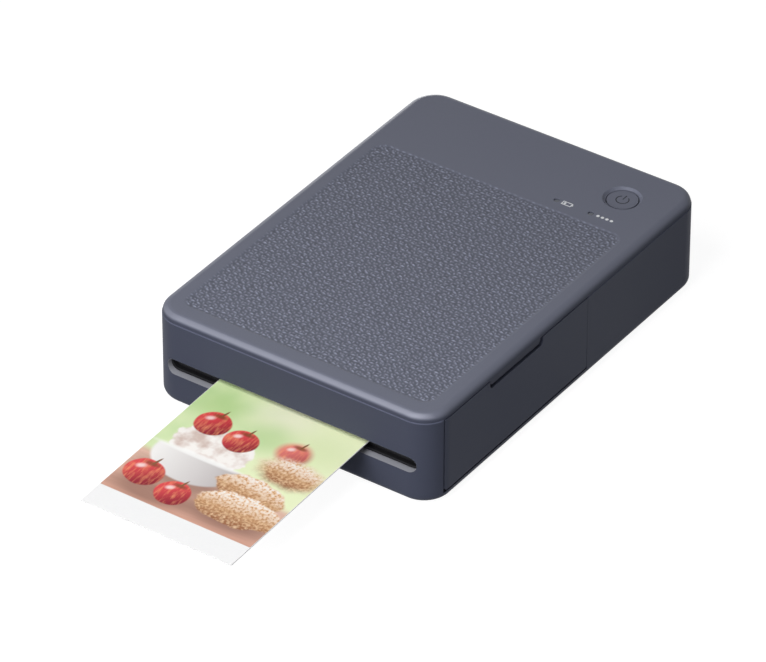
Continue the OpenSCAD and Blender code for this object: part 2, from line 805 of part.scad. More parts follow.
module main_board() {
    color([0.05, 0.3, 0.15]) {
        translate([-board_x, board_y0, board_z])
            cube([2 * board_x, board_y1 - board_y0, board_t]);
        for (chip = [0 : 2]) translate([-30 + 14 * chip, board_y0 + 6, board_z + board_t - eps])
            cube([9, 9, 1.2]);
    }
}

module usb_socket() {
    color("silver") translate([usb_x, 0, 0]) difference() {
        stadium(usb_w, usb_h, half_d - usb_l - 0.6, half_d - 0.6, usb_z);
        stadium(usb_w - 0.6, usb_h - 0.6, half_d - usb_l + 0.6, half_d, usb_z);
    }
}

module head_cable() {
    z = ceiling_z - 1.2;
    y0 = head_pivot_y + head_ear_r + 0.4;
    color([0.75, 0.6, 0.3]) {
        translate([-10, y0, z]) cube([20, board_y0 + 3 - y0, cable_t]);
        translate([-10, board_y0 + 3 - cable_t, board_z + board_t])
            cube([20, cable_t, z - board_z - board_t + cable_t]);
    }
}

// ---- chassis ----

// Side plate outline pieces, in the plane across X
module plate_box(x0, y0, y1, z1) {
    translate([x0, y0, floor_z]) cube([plate_t, y1 - y0, z1 - floor_z]);
}

// Bearing holes that both side plates share
module plate_bearings() {
    bar_x(-half_w, half_w, grip_y, grip_z, shaft_r + run_gap);
    bar_x(-half_w, half_w, platen_y, platen_z, shaft_r + run_gap);
    bar_x(-half_w, half_w, grip_y, pinch_z, pinch_shaft_r + run_gap);
    bar_x(-half_w, half_w, pickup_y, pickup_z, shaft_r + run_gap);
    bar_x(-half_w, half_w, head_pivot_y, head_pivot_z, head_pivot_r);
}

module left_side_plate() {
    color("silver") difference() {
        union() {
            plate_box(-plate_x, plate_y0, plate_y1, plate_top_z);
            bar_x(gear_x0 - 0.2, -plate_x + eps, idler_y, idler_z, stud_r);
            bar_x(gear_x0 - 0.2, -plate_x + eps, drive_y, drive_z, stud_r);
            bar_x(-plate_x, -plate_x + plate_t, head_pivot_y, head_pivot_z, head_ear_r);
        }
        plate_bearings();
        bar_x(-plate_x - 1, -plate_x + plate_t + 1, takeup_y, takeup_z, stud_r + run_gap);
        bar_x(-plate_x - 1, -plate_x + plate_t + 1, supply_y, supply_z, stud_r + run_gap);
    }
}

module right_side_plate() {
    x0 = plate_x - plate_t;
    color("silver") difference() {
        union() {
            plate_box(x0, plate_y0, takeup_y - chamber_out_r - bay_gap, plate_top_z);
            plate_box(x0, plate_y0, plate_y1, takeup_z - chamber_out_r - bay_gap);
            plate_box(x0, supply_y + chamber_out_r + bay_gap, plate_y1, plate_top_z);
            translate([x0, head_pivot_y, supply_z + chamber_out_r + 0.2])
                cube([plate_t, plate_y1 - head_pivot_y, arm_h]);
            bar_x(x0, plate_x, head_pivot_y, head_pivot_z, head_ear_r);
        }
        plate_bearings();
    }
}

module head_bridge() {
    color("silver") translate([-plate_x + plate_t, plate_y0 + 1, plate_top_z - 3])
        cube([chassis_w - 2 * plate_t, 6, 1]);
}

// ---- gears ----

// Point of the involute of a base circle, at a radius, in polar angle
function involute(base, r) =
    let (a = acos(min(1, base / r))) tan(a) * 180 / PI - a;

// Half the angle that a tooth takes up at a radius
function tooth_half(teeth, r) =
    let (p = pitch_r(teeth), base = p * cos(pressure))
    90 / teeth - backlash / 4 / p * 180 / PI
        + involute(base, p) - involute(base, max(r, base));

// Outline of a gear with one tooth centred on the given angle
function gear_points(teeth, phase) =
    let (p = pitch_r(teeth), tip = p + 0.9 * gear_m, root = p - 1.2 * gear_m,
        base = p * cos(pressure), low = max(root + 0.05, base),
        flank = [root, for (i = [0 : 3]) low + (tip - low) * i / 3])
    [for (t = [0 : teeth - 1], side = [-1, 1], i = [0 : len(flank) - 1])
        let (k = side < 0 ? i : len(flank) - 1 - i,
            a = phase + t * 360 / teeth + side * tooth_half(teeth, flank[k]))
        flank[k] * [cos(a), sin(a)]];

// Gear in the gear plane, bored for its shaft
module gear(teeth, y, z, phase, bore_r) {
    translate([gear_x0, y, z]) rotate([90, 0, 90]) linear_extrude(height = gear_w)
        difference() {
            polygon(gear_points(teeth, phase));
            circle(r = bore_r);
        }
}

// Phase of a gear that meshes with another, seen along the line between them
function meshed(teeth, other_teeth, other_phase, line) =
    line + 180 + 180 / teeth - (other_phase - line) * other_teeth / teeth;

module grip_gear() {
    color("ivory") gear(roller_teeth, grip_y, grip_z, grip_phase, shaft_r);
}

module platen_gear() {
    color("ivory") gear(roller_teeth, platen_y, platen_z, platen_phase, shaft_r);
}

module roller_idler_gear() {
    color("ivory") gear(idler_teeth, idler_y, idler_z, idler_phase, stud_r + run_gap);
}

module drive_idler_gear() {
    color("ivory") gear(drive_teeth, drive_y, drive_z, drive_phase, stud_r + run_gap);
}

module takeup_gear() {
    color("ivory") {
        gear(takeup_teeth, takeup_y, takeup_z, takeup_phase, stud_r);
        bar_x(gear_x0, cassette_x0 + spool_in + 3, takeup_y, takeup_z, stud_r);
    }
}

module motor_pinion() {
    color("goldenrod") {
        gear(pinion_teeth, motor_y, motor_z, pinion_phase, motor_shaft_r);
        bar_x(motor_x1 - 3, gear_x1, motor_y, motor_z, motor_shaft_r);
    }
}

module feed_motor() {
    color("silver") difference() {
        bar_x(motor_x0, motor_x1, motor_y, motor_z, motor_r);
        bar_x(motor_x1 - 3 - fit_gap, motor_x1 + 1, motor_y, motor_z, motor_shaft_r + run_gap);
    }
}

// ---- rollers ----

// Rubber sleeve on a shaft
module sleeve(l, y, z, r, bore_r) {
    difference() {
        bar_x(-l / 2, l / 2, y, z, r);
        bar_x(-l, l, y, z, bore_r);
    }
}

module grip_roller() {
    color([0.15, 0.15, 0.15]) sleeve(roller_l, grip_y, grip_z, roller_r, shaft_r);
}

module grip_shaft() {
    color("silver") bar_x(gear_x0, plate_x + 1, grip_y, grip_z, shaft_r);
}

module platen_roller() {
    color([0.15, 0.15, 0.15]) sleeve(roller_l, platen_y, platen_z, roller_r, shaft_r);
}

module platen_shaft() {
    color("silver") bar_x(gear_x0, plate_x + 1, platen_y, platen_z, shaft_r);
}

module pinch_roller() {
    color("silver") {
        bar_x(-roller_l / 2, roller_l / 2, grip_y, pinch_z, pinch_r);
        bar_x(-plate_x, plate_x, grip_y, pinch_z, pinch_shaft_r);
    }
}

module pickup_roller() {
    color([0.15, 0.15, 0.15]) sleeve(pickup_l, pickup_y, pickup_z, pickup_r, shaft_r);
}

module pickup_shaft() {
    color("silver") bar_x(-plate_x, plate_x + 3, pickup_y, pickup_z, shaft_r);
}

module pickup_motor() {
    color("silver") difference() {
        bar_x(plate_x + 0.4, inner_x - 1.6, pickup_y, pickup_z, pickup_motor_r);
        bar_x(plate_x, plate_x + 3 + fit_gap, pickup_y, pickup_z, shaft_r + run_gap);
    }
}

// ---- print head ----

module print_head() {
    color("linen") {
        bar_x(-head_l / 2, head_l / 2, platen_y, head_z + glaze_r, glaze_r);
        translate([-head_l / 2, platen_y - head_front, head_z + glaze_r])
            cube([head_l, head_front + head_back, head_t]);
    }
}

module head_heat_sink() {
    color("silver") translate([-head_l / 2, platen_y - head_front, sink_z]) {
        cube([head_l, head_front + head_back, 1.6]);
        for (i = [0 : fin_count - 1])
            translate([0, i * (head_front + head_back - fin_t) / (fin_count - 1), 0])
                cube([head_l, fin_t, sink_h]);
    }
}

module head_bracket() {
    color("gray") difference() {
        union() {
            translate([-head_l / 2, platen_y - head_front, sink_z + sink_h])
                cube([head_l, head_pivot_y - platen_y + head_front, bracket_t]);
            for (side = [-1, 1]) {
                x0 = side * (head_l / 2 - 2) - 2;
                bar_x(x0, x0 + 4, head_pivot_y, head_pivot_z, head_ear_r);
                translate([x0, head_pivot_y - head_ear_r, sink_z + sink_h])
                    cube([4, 2 * head_ear_r, head_pivot_z - sink_z - sink_h]);
            }
        }
        bar_x(-half_w, half_w, head_pivot_y, head_pivot_z, head_pivot_r + run_gap);
    }
}

module head_pivot_shaft() {
    color("silver") bar_x(-plate_x, plate_x, head_pivot_y, head_pivot_z, head_pivot_r);
}

// ---- ink cassette ----

// One ribbon chamber with closed ends and a slit towards the head
module chamber(y, z, slit_angle) {
    difference() {
        bar_x(cassette_x0, cassette_x1, y, z, chamber_out_r);
        bar_x(cassette_x0 + end_t, cassette_x1 - end_t, y, z, chamber_r);
        bar_x(cassette_x0 - 1, cassette_x0 + end_t + 1, y, z, stud_r + 0.3);
        translate([-ribbon_w / 2 - 1, y, z]) rotate([slit_angle, 0, 0])
            translate([0, chamber_r - 1, -0.9]) cube([ribbon_w + 2, chamber_wall + 2, 1.8]);
    }
}

module cassette_shell() {
    color([0.3, 0.32, 0.36]) {
        chamber(takeup_y, takeup_z, takeup_slit);
        chamber(supply_y, supply_z, supply_slit);
        translate([cassette_x0, takeup_y, takeup_z - chamber_out_r])
            cube([end_t, chamber_pitch, rail_h]);
        translate([cassette_x1 - end_t, takeup_y, takeup_z - chamber_out_r])
            cube([end_t, chamber_pitch, 2 * chamber_out_r]);
    }
}

// Spool core with the ribbon wound on it
module spool(y, z, wound_r) {
    difference() {
        union() {
            bar_x(cassette_x0 + spool_in, cassette_x1 - spool_in, y, z, spool_core_r);
            bar_x(-ribbon_w / 2, ribbon_w / 2, y, z, wound_r);
            for (side = [-1, 1])
                bar_x(side * (ribbon_w / 2 + 0.5) - 0.5, side * (ribbon_w / 2 + 0.5) + 0.5,
                    y, z, chamber_r - 0.3);
        }
        bar_x(cassette_x0, cassette_x0 + spool_in + 3, y, z, stud_r);
    }
}

module takeup_spool() {
    color([0.3, 0.1, 0.3]) spool(takeup_y, takeup_z, takeup_r);
}

module supply_spool() {
    color([0.8, 0.7, 0.2]) {
        spool(supply_y, supply_z, supply_r);
        bar_x(-plate_x, cassette_x0 + spool_in + 3, supply_y, supply_z, stud_r);
    }
}

// Unit normal of the ribbon's path at one of its points
function path_normal(i) =
    let (d = ribbon_path[min(i + 1, len(ribbon_path) - 1)] - ribbon_path[max(i - 1, 0)])
    [-d[1], d[0]] / norm(d);

module ink_ribbon() {
    last = len(ribbon_path) - 1;
    color([0.6, 0.2, 0.4]) translate([-ribbon_w / 2, 0, 0]) rotate([90, 0, 90])
        linear_extrude(height = ribbon_w) polygon(concat(
            ribbon_path,
            [for (i = [0 : last]) ribbon_path[last - i] + ribbon_t * path_normal(last - i)]));
}

lower_case();
top_cover();
side_door();
door_hinge_pins();
door_latch();
slot_throat();
paper_hatch();
hatch_hinge_pins();
lift_plate();
paper_stack();
rubber_feet();
case_screws();
power_button();
power_switch();
lamp_windows();
left_side_plate();
right_side_plate();
head_bridge();
printed_sheet();
grip_roller();
grip_shaft();
grip_gear();
pinch_roller();
platen_roller();
platen_shaft();
platen_gear();
roller_idler_gear();
drive_idler_gear();
feed_motor();
motor_pinion();
print_head();
head_bracket();
head_heat_sink();
head_pivot_shaft();
cassette_shell();
takeup_spool();
takeup_gear();
supply_spool();
ink_ribbon();
feed_ramp();
pickup_roller();
pickup_shaft();
pickup_motor();
battery_pack();
main_board();
usb_socket();
head_cable();
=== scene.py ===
import math

import bpy
import numpy as np
from mathutils import Matrix, Vector


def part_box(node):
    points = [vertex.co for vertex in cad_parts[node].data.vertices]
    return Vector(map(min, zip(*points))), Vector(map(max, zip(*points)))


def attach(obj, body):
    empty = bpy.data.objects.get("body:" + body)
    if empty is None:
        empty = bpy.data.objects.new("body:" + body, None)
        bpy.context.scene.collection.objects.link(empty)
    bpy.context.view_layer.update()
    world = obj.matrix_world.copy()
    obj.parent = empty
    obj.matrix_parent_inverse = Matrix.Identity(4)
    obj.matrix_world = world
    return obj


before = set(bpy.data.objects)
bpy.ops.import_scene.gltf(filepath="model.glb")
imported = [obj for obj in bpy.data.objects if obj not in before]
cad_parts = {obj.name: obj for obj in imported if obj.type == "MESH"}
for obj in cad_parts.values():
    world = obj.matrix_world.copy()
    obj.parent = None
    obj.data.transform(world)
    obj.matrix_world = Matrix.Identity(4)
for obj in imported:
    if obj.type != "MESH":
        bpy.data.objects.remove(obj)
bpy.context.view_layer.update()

bl_info = {
    "name": "Photo printer builder",
    "version": (1, 0, 0),
    "blender": (4, 5, 0),
    "location": "3D View > Sidebar > Printer",
    "description": "Dresses the compact photo printer and sets its studio",
    "category": "Object",
}

MM = 0.001
cover_lo, cover_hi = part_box("top_cover")
case_lo, case_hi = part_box("lower_case")
throat_lo, throat_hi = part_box("slot_throat")
button_lo, button_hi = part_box("power_button")
sheet_lo, sheet_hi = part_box("printed_sheet")
lamp_lo, lamp_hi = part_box("lamp_windows")
# The exit slot has half-round ends: its middle height, their radius and their centres' place
THROAT_WALL = 1.2 * MM
slot_middle = (throat_lo.z + throat_hi.z) / 2
slot_radius = (throat_hi.z - throat_lo.z) / 2 - THROAT_WALL
slot_centre = throat_hi.x - THROAT_WALL - slot_radius
SHEET_THICK = 0.3 * MM
# Width and depth of one bump of the moulded grain
GRAIN_SIZE, GRAIN_DEPTH = 0.25 * MM, 0.012 * MM


# ---------------------------------------------------------------- settings

class CasingSettings(bpy.types.PropertyGroup):
    """Colours and grain of the moulded casing: one plastic with painted light and shade."""
    # Painted light: lit copy of the casing plastic, for the top cover and button
    lid_lit_colour: bpy.props.FloatVectorProperty(
        name="Lid colour", description="Moulded plastic of the top cover and button",
        subtype="COLOR", size=3, min=0, max=1, default=(0.125, 0.133, 0.174))
    # Painted shade: shaded copy of the same plastic, for the lower case and door
    body_shaded_colour: bpy.props.FloatVectorProperty(
        name="Body colour", description="Moulded plastic of the lower case and door",
        subtype="COLOR", size=3, min=0, max=1, default=(0.048, 0.053, 0.078))
    grain_size: bpy.props.FloatProperty(
        name="Grain size", description="Width of one bump of the spark-eroded finish",
        unit="LENGTH", default=GRAIN_SIZE)
    roughness: bpy.props.FloatProperty(
        name="Roughness", description="Mean roughness of the matt plastic",
        min=0, max=1, default=0.5)


class ReliefSettings(bpy.types.PropertyGroup):
    """Woven relief of the lid."""
    pitch: bpy.props.FloatProperty(
        name="Pitch", description="Side of the square that the relief repeats in",
        unit="LENGTH", default=2.2875 * MM)
    steps: bpy.props.IntProperty(
        name="Steps", description="Grid steps along one side of that square", default=10)
    height: bpy.props.FloatProperty(
        name="Height", description="Depth of the ground below the tops of the ridges",
        unit="LENGTH", default=0.26 * MM)
    side_margin: bpy.props.FloatProperty(
        name="Side margin", description="Smooth margin at each side",
        unit="LENGTH", default=5.6 * MM)
    front_margin: bpy.props.FloatProperty(
        name="Front margin", description="Smooth margin in front",
        unit="LENGTH", default=6.4 * MM)
    rear_margin: bpy.props.FloatProperty(
        name="Rear margin", description="Smooth band behind",
        unit="LENGTH", default=33.9 * MM)
    corner_radius: bpy.props.FloatProperty(
        name="Corner radius", description="Radius of the relief's corners",
        unit="LENGTH", default=5.0 * MM)
    border: bpy.props.FloatProperty(
        name="Border", description="Width over which the relief rises to the smooth margin",
        unit="LENGTH", default=1.5 * MM)


class MarkSettings(bpy.types.PropertyGroup):
    """Symbols on the button and beside the lamps."""
    ring_radius: bpy.props.FloatProperty(
        name="Ring radius", description="Radius of the power symbol's ring",
        unit="LENGTH", default=2.0 * MM)
    stroke: bpy.props.FloatProperty(
        name="Stroke", description="Line width of the power symbol",
        unit="LENGTH", default=0.34 * MM)
    icon_height: bpy.props.FloatProperty(
        name="Icon height", description="Height of the lamp symbols",
        unit="LENGTH", default=1.8 * MM)
    icon_offset: bpy.props.FloatProperty(
        name="Icon offset", description="Distance from a lamp to its symbol",
        unit="LENGTH", default=2.0 * MM)
    ink_thickness: bpy.props.FloatProperty(
        name="Ink thickness", description="Height of the printed ink",
        unit="LENGTH", default=0.02 * MM)


class PrintSettings(bpy.types.PropertyGroup):
    """Picture on the print."""
    tab_length: bpy.props.FloatProperty(
        name="Tab length", description="White tear-off tab at the outer end",
        unit="LENGTH", default=9.3 * MM)
    picture_length: bpy.props.FloatProperty(
        name="Picture length", description="Length of the printed picture",
        unit="LENGTH", default=86 * MM)
    border: bpy.props.FloatProperty(
        name="Border", description="White edge left along the sides",
        unit="LENGTH", default=0.06 * MM)


class StudioSettings(bpy.types.PropertyGroup):
    """Camera and lamps of the studio."""
    azimuth: bpy.props.FloatProperty(
        name="Azimuth", description="Camera's direction round the printer",
        subtype="ANGLE", default=math.radians(34.7791))
    elevation: bpy.props.FloatProperty(
        name="Elevation", description="Camera's height above the horizon",
        subtype="ANGLE", default=math.radians(35.6915))
    roll: bpy.props.FloatProperty(
        name="Roll", description="Camera's turn about its own axis",
        subtype="ANGLE", default=math.radians(0.0828))
    distance: bpy.props.FloatProperty(
        name="Distance", description="Camera's distance from its target",
        unit="LENGTH", default=1.98785)
    target: bpy.props.FloatVectorProperty(
        name="Target", description="Point in the middle of the view",
        subtype="TRANSLATION", size=3, default=(-0.0078267, -0.0134198, 0.0068707))
    lens: bpy.props.FloatProperty(
        name="Lens", description="Focal length for a sensor 36 mm wide",
        default=308.76)
    key_power: bpy.props.FloatProperty(
        name="Key power", description="Power of the lamp over the front", default=1.75)
    fill_power: bpy.props.FloatProperty(
        name="Fill power", description="Power of the lamp before the front", default=7.2)
    side_power: bpy.props.FloatProperty(
        name="Side power", description="Power of the lamp beside the door", default=1.5)
    rear_power: bpy.props.FloatProperty(
        name="Rear power", description="Power of the low lamp behind, at the left", default=4.0)
    ambient: bpy.props.FloatProperty(
        name="Ambient", description="Strength of the even light all round", default=0.08)


# ---------------------------------------------------------------- node helper

class Graph:
    """Short calls that lay out one material's nodes."""

    def __init__(self, name):
        self.material = bpy.data.materials.new(name)
        self.material.use_nodes = True
        self.tree = self.material.node_tree
        self.shader = self.tree.nodes["Principled BSDF"]
        self.coords = self.tree.nodes.new("ShaderNodeTexCoord").outputs["Object"]

    def link(self, value, socket):
        """Joins an output to a socket, or sets the socket to a plain value."""
        if isinstance(value, bpy.types.NodeSocket):
            self.tree.links.new(value, socket)
        else:
            socket.default_value = value

    def math(self, operation, a, b=0.0, c=0.0):
        """The result of one operation on up to three values."""
        node = self.tree.nodes.new("ShaderNodeMath")
        node.operation = operation
        for value, socket in zip((a, b, c), node.inputs):
            self.link(value, socket)
        return node.outputs[0]

    def noise(self, scale, detail, stretch=(1, 1, 1)):
        """Soft noise round 0.5, with its scale in lumps per metre."""
        mapping = self.tree.nodes.new("ShaderNodeMapping")
        mapping.inputs["Scale"].default_value = stretch
        self.link(self.coords, mapping.inputs["Vector"])
        node = self.tree.nodes.new("ShaderNodeTexNoise")
        node.inputs["Scale"].default_value = scale
        node.inputs["Detail"].default_value = detail
        self.link(mapping.outputs[0], node.inputs["Vector"])
        return node.outputs["Fac"]

    def remap(self, value, low, high, to_low=0.0, to_high=1.0, smooth=False):
        """Carries the range from low to high over to another, and stops at its ends."""
        node = self.tree.nodes.new("ShaderNodeMapRange")
        node.interpolation_type = "SMOOTHSTEP" if smooth else "LINEAR"
        for v, socket in zip((value, low, high, to_low, to_high), node.inputs):
            self.link(v, socket)
        return node.outputs[0]

    def mix(self, factor, a, b, blend="MIX"):
        """Blends colour b over colour a."""
        node = self.tree.nodes.new("ShaderNodeMix")
        node.data_type = "RGBA"
        node.blend_type = blend
        sockets = (node.inputs[0], node.inputs[6], node.inputs[7])
        for v, socket in zip((factor, a, b), sockets):
            if isinstance(v, (tuple, list)):
                v = tuple(v) + (1.0,) * (4 - len(v))
            self.link(v, socket)
        return node.outputs[2]

    def axes(self):
        """The x, y and z of a point of the piece."""
        node = self.tree.nodes.new("ShaderNodeSeparateXYZ")
        self.link(self.coords, node.inputs[0])
        return node.outputs

    def bump(self, height, strength, distance):
        """Turns a height into small changes of the surface's direction."""
        node = self.tree.nodes.new("ShaderNodeBump")
        node.inputs["Strength"].default_value = strength
        node.inputs["Distance"].default_value = distance
        self.link(height, node.inputs["Height"])
        self.link(node.outputs[0], self.shader.inputs["Normal"])

    def set(self, **values):
        """Sets or links the shader's inputs, with _ for a space in a name."""
        for name, value in values.items():
            socket = self.shader.inputs[name.replace("_", " ")]
            if isinstance(value, (tuple, list)) and len(value) == 3:
                value = tuple(value) + (1.0,)
            self.link(value, socket)


# ---------------------------------------------------------------- materials

# Shine and tint of reflections of the two casing plastics
LID_SHINE, LID_TINT = 0.3, (0.88, 0.9, 1.0)
BODY_SHINE, BODY_TINT = 0.08, (0.69, 0.77, 1.0)
# Depths below the lid's top over which painted shade darkens its rim, in front and elsewhere
FRONT_SHADE_DEPTHS, SIDE_SHADE_DEPTHS = (1.0 * MM, 2.0 * MM), (0.5 * MM, 2.4 * MM)
# Depths between which the front edge gets its polish, and loses it again
POLISH_START, POLISH_END = (0.05 * MM, 0.3 * MM), (0.9 * MM, 1.7 * MM)
# Distances behind the front where its painted shade, polish and highlight end, on lid and body
LID_FRONT, BODY_FRONT = (2 * MM, 6 * MM), (5 * MM, 9 * MM)
# Height of the lid's wall above the parting, and of the blunt edge below it with its border, and
# by how much a painted highlight makes that edge paler
LID_WALL, BLUNT_EDGE, BLUNT_BORDER, BLUNT_HIGHLIGHT = 2.7 * MM, 0.35 * MM, 0.1 * MM, 1.6
# Colour of the painted light on the lip inside the exit slot, the distances behind the case's
# front between which it ends, and its border across
LIP_PAINTED_LIGHT, LIP_END, LIP_BORDER = (0.28, 0.285, 0.32), (2.4 * MM, 2.5 * MM), 0.03 * MM
# Part by which painted light makes ridges paler and painted shade hollows darker, and its
# unevenness
RIDGE_PAINTED_CONTRAST, RIDGE_PAINTED_UNEVEN = 1.6, 0.4


def shade(colour, factor):
    """A colour made lighter or darker by a factor."""
    return tuple(min(1.0, c * factor) for c in colour)


def moulded_plastic(name, colour, grain=GRAIN_SIZE, roughness=0.5, tint=(1, 1, 1)):
    """Matt moulded plastic: spark-eroded grain, faint flow clouds, uneven gloss."""
    return plastic_graph(name, colour, grain, roughness, LID_SHINE, tint)[0].material


def plastic_graph(name, colour, grain, roughness, shine, tint):
    """The nodes of a moulded plastic, and the output that holds its colour."""
    g = Graph(name)
    clouds = g.noise(14.0, 3.0)
    fine = g.noise(1.0 / grain, 2.0)
    flow = g.mix(clouds, shade(colour, 0.96), shade(colour, 1.04))
    speck = g.remap(fine, 0.35, 0.65, 0.0, 1.0)
    mixed = g.mix(g.math("MULTIPLY", speck, 0.12), flow, shade(colour, 1.35))
    g.set(Base_Color=mixed, Specular_Tint=tint, Specular_IOR_Level=shine)
    g.set(Roughness=g.remap(clouds, 0.3, 0.7, roughness - 0.04, roughness + 0.05))
    g.bump(fine, 0.35, GRAIN_DEPTH)
    return g, mixed


def lid_plastic(casing):
    """The lid's plastic: painted shade below the edge of its rim, which is polished in front."""
    g, mixed = plastic_graph("lid_plastic", tuple(casing.lid_lit_colour), casing.grain_size,
                             casing.roughness, LID_SHINE, LID_TINT)
    _, y, z = g.axes()
    depth = g.math("SUBTRACT", cover_hi.z, z)
    front = g.remap(g.math("SUBTRACT", y, cover_lo.y), *LID_FRONT[::-1], smooth=True)
    shade_front, shade_side = (g.remap(depth, *turn, smooth=True) for turn in (FRONT_SHADE_DEPTHS, SIDE_SHADE_DEPTHS))
    low = g.math("ADD", g.math("MULTIPLY", front, shade_front),
                 g.math("MULTIPLY", g.math("SUBTRACT", 1.0, front), shade_side))
    # Painted shade: below the edge the rim takes the body's shaded colour
    g.set(Base_Color=g.mix(low, mixed, tuple(casing.body_shaded_colour)))
    crest = g.math("MULTIPLY", g.remap(depth, *POLISH_START, smooth=True),
                   g.remap(depth, *POLISH_END[::-1], smooth=True))
    matt = g.remap(low, 0, 1, LID_SHINE, BODY_SHINE)
    shine = g.math("MAXIMUM", g.math("MULTIPLY", front, crest), matt)
    g.set(Specular_IOR_Level=shine)
    return g.material


def relief_plastic(casing):
    """The lid's plastic on the relief, with uneven painted light on ridges and shade between
    them.
    """
    g, mixed = plastic_graph("relief_plastic", tuple(casing.lid_lit_colour), casing.grain_size,
                             casing.roughness, LID_SHINE, LID_TINT)
    weave = g.tree.nodes.new("ShaderNodeAttribute")
    weave.attribute_name = "weave"
    uneven = g.remap(g.noise(900.0, 1.0), 0.3, 0.7, 1 - RIDGE_PAINTED_UNEVEN, 1 + RIDGE_PAINTED_UNEVEN)
    # Painted light and shade: paler where the relief stands above its mean, darker below it
    ridge_shading = g.remap(g.math("MULTIPLY", weave.outputs["Fac"], uneven), -1, 1,
                   1 - RIDGE_PAINTED_CONTRAST, 1 + RIDGE_PAINTED_CONTRAST)
    grey = g.tree.nodes.new("ShaderNodeCombineColor")
    for socket in grey.inputs:
        g.link(ridge_shading, socket)
    g.set(Base_Color=g.mix(1.0, mixed, grey.outputs[0], blend="MULTIPLY"))
    return g.material


def body_plastic(casing):
    """The lower case's plastic, with painted light on the exit slot's lip and under the parting.
    """
    g, mixed = plastic_graph("body_plastic", tuple(casing.body_shaded_colour), casing.grain_size,
                             casing.roughness, BODY_SHINE, BODY_TINT)
    x, y, z = g.axes()
    # Distance from the line between the middles of the slot's round ends
    across = g.math("MAXIMUM", g.math("SUBTRACT", g.math("ABSOLUTE", x), slot_centre), 0.0)
    rise = g.math("SUBTRACT", z, slot_middle)
    from_line = g.math("SQRT", g.math("ADD", g.math("MULTIPLY", across, across),
                                      g.math("MULTIPLY", rise, rise)))
    back = g.math("SUBTRACT", y, case_lo.y)
    # Painted light: the lip inside the exit slot takes a pale colour
    lip = g.math("MULTIPLY", g.remap(from_line, slot_radius + LIP_BORDER, slot_radius),
                 g.remap(back, *LIP_END[::-1]))
    # The wall's upper edge is blunt and catches some light; in front it also gets a painted
    # highlight
    depth = g.math("SUBTRACT", cover_hi.z - LID_WALL, z)
    edge = g.remap(depth, BLUNT_EDGE + BLUNT_BORDER, BLUNT_EDGE, smooth=True)
    edge_highlight = g.math("MULTIPLY", edge, g.remap(back, *BODY_FRONT[::-1], smooth=True))
    # Painted highlight: the blunt edge in front is painted paler than the wall
    walls = g.mix(edge_highlight, mixed, shade(tuple(casing.body_shaded_colour), BLUNT_HIGHLIGHT))
    g.set(Base_Color=g.mix(lip, walls, LIP_PAINTED_LIGHT))
    return g.material


def rolled_steel(name, colour, roughness=0.3, grain=(1, 60, 60)):
    """Rolled or turned metal: fine lines along one axis and faint stains."""
    g = Graph(name)
    lines = g.noise(140.0, 4.0, grain)
    stains = g.noise(60.0, 3.0)
    g.set(Base_Color=g.mix(lines, shade(colour, 0.82), shade(colour, 1.1)), Metallic=1.0)
    g.set(Roughness=g.remap(stains, 0.3, 0.7, roughness - 0.06, roughness + 0.1))
    g.bump(lines, 0.25, 0.01 * MM)
    return g.material


def ground_rubber(name, colour, roughness=0.75):
    """Ground rubber: dull, with a fine sandy surface and a little dust."""
    g = Graph(name)
    sand = g.noise(5200.0, 2.0)
    dust = g.noise(90.0, 4.0)
    g.set(Base_Color=g.mix(g.remap(dust, 0.45, 0.8), colour, shade(colour, 2.2)))
    g.set(Roughness=g.remap(sand, 0.3, 0.7, roughness - 0.08, roughness + 0.08))
    g.bump(sand, 0.5, 0.02 * MM)
    return g.material


def gloss_plastic(name, colour, roughness=0.15):
    """Glossy film or shrink wrap with soft waves in it."""
    g = Graph(name)
    waves = g.noise(240.0, 2.0, (1, 3, 1))
    clouds = g.noise(30.0, 2.0)
    g.set(Base_Color=g.mix(clouds, shade(colour, 0.8), shade(colour, 1.25)))
    g.set(Roughness=g.remap(waves, 0.3, 0.7, roughness, roughness + 0.12))
    g.bump(waves, 0.2, 0.05 * MM)
    return g.material


def circuit_board(name, mask, copper):
    """Green solder mask over copper tracks, with tinned pads."""
    g = Graph(name)
    x, y, _ = g.axes()
    warp = g.noise(70.0, 1.0)
    track = g.math("SINE", g.math("MULTIPLY_ADD", x, 2600.0, g.math("MULTIPLY", warp, 40.0)))
    cross = g.math("SINE", g.math("MULTIPLY_ADD", y, 2300.0, g.math("MULTIPLY", warp, 46.0)))
    line = g.remap(g.math("MAXIMUM", track, cross), 0.55, 0.8)
    pads = g.remap(g.math("MULTIPLY", track, cross), 0.86, 0.93)
    tint = g.mix(line, mask, shade(mask, 2.1))
    g.set(Base_Color=g.mix(pads, tint, copper), Roughness=0.35, Metallic=pads)
    g.bump(line, 0.4, 0.03 * MM)
    return g.material


def glazed_ceramic(name, colour):
    """Pale sintered ceramic under a thin glaze."""
    g = Graph(name)
    pores = g.noise(2400.0, 3.0)
    clouds = g.noise(50.0, 2.0)
    g.set(Base_Color=g.mix(clouds, shade(colour, 0.88), colour))
    g.set(Roughness=g.remap(pores, 0.3, 0.7, 0.2, 0.4))
    g.bump(pores, 0.2, 0.01 * MM)
    return g.material


def lamp_plastic(name, colour):
    """Milky light-pipe plastic."""
    g = Graph(name)
    haze = g.noise(400.0, 2.0)
    g.set(Base_Color=g.mix(haze, shade(colour, 0.8), colour))
    g.set(Roughness=g.remap(haze, 0.3, 0.7, 0.2, 0.35), Coat_Weight=0.4)
    g.bump(haze, 0.15, 0.01 * MM)
    return g.material


# ---------------------------------------------------------------- the picture

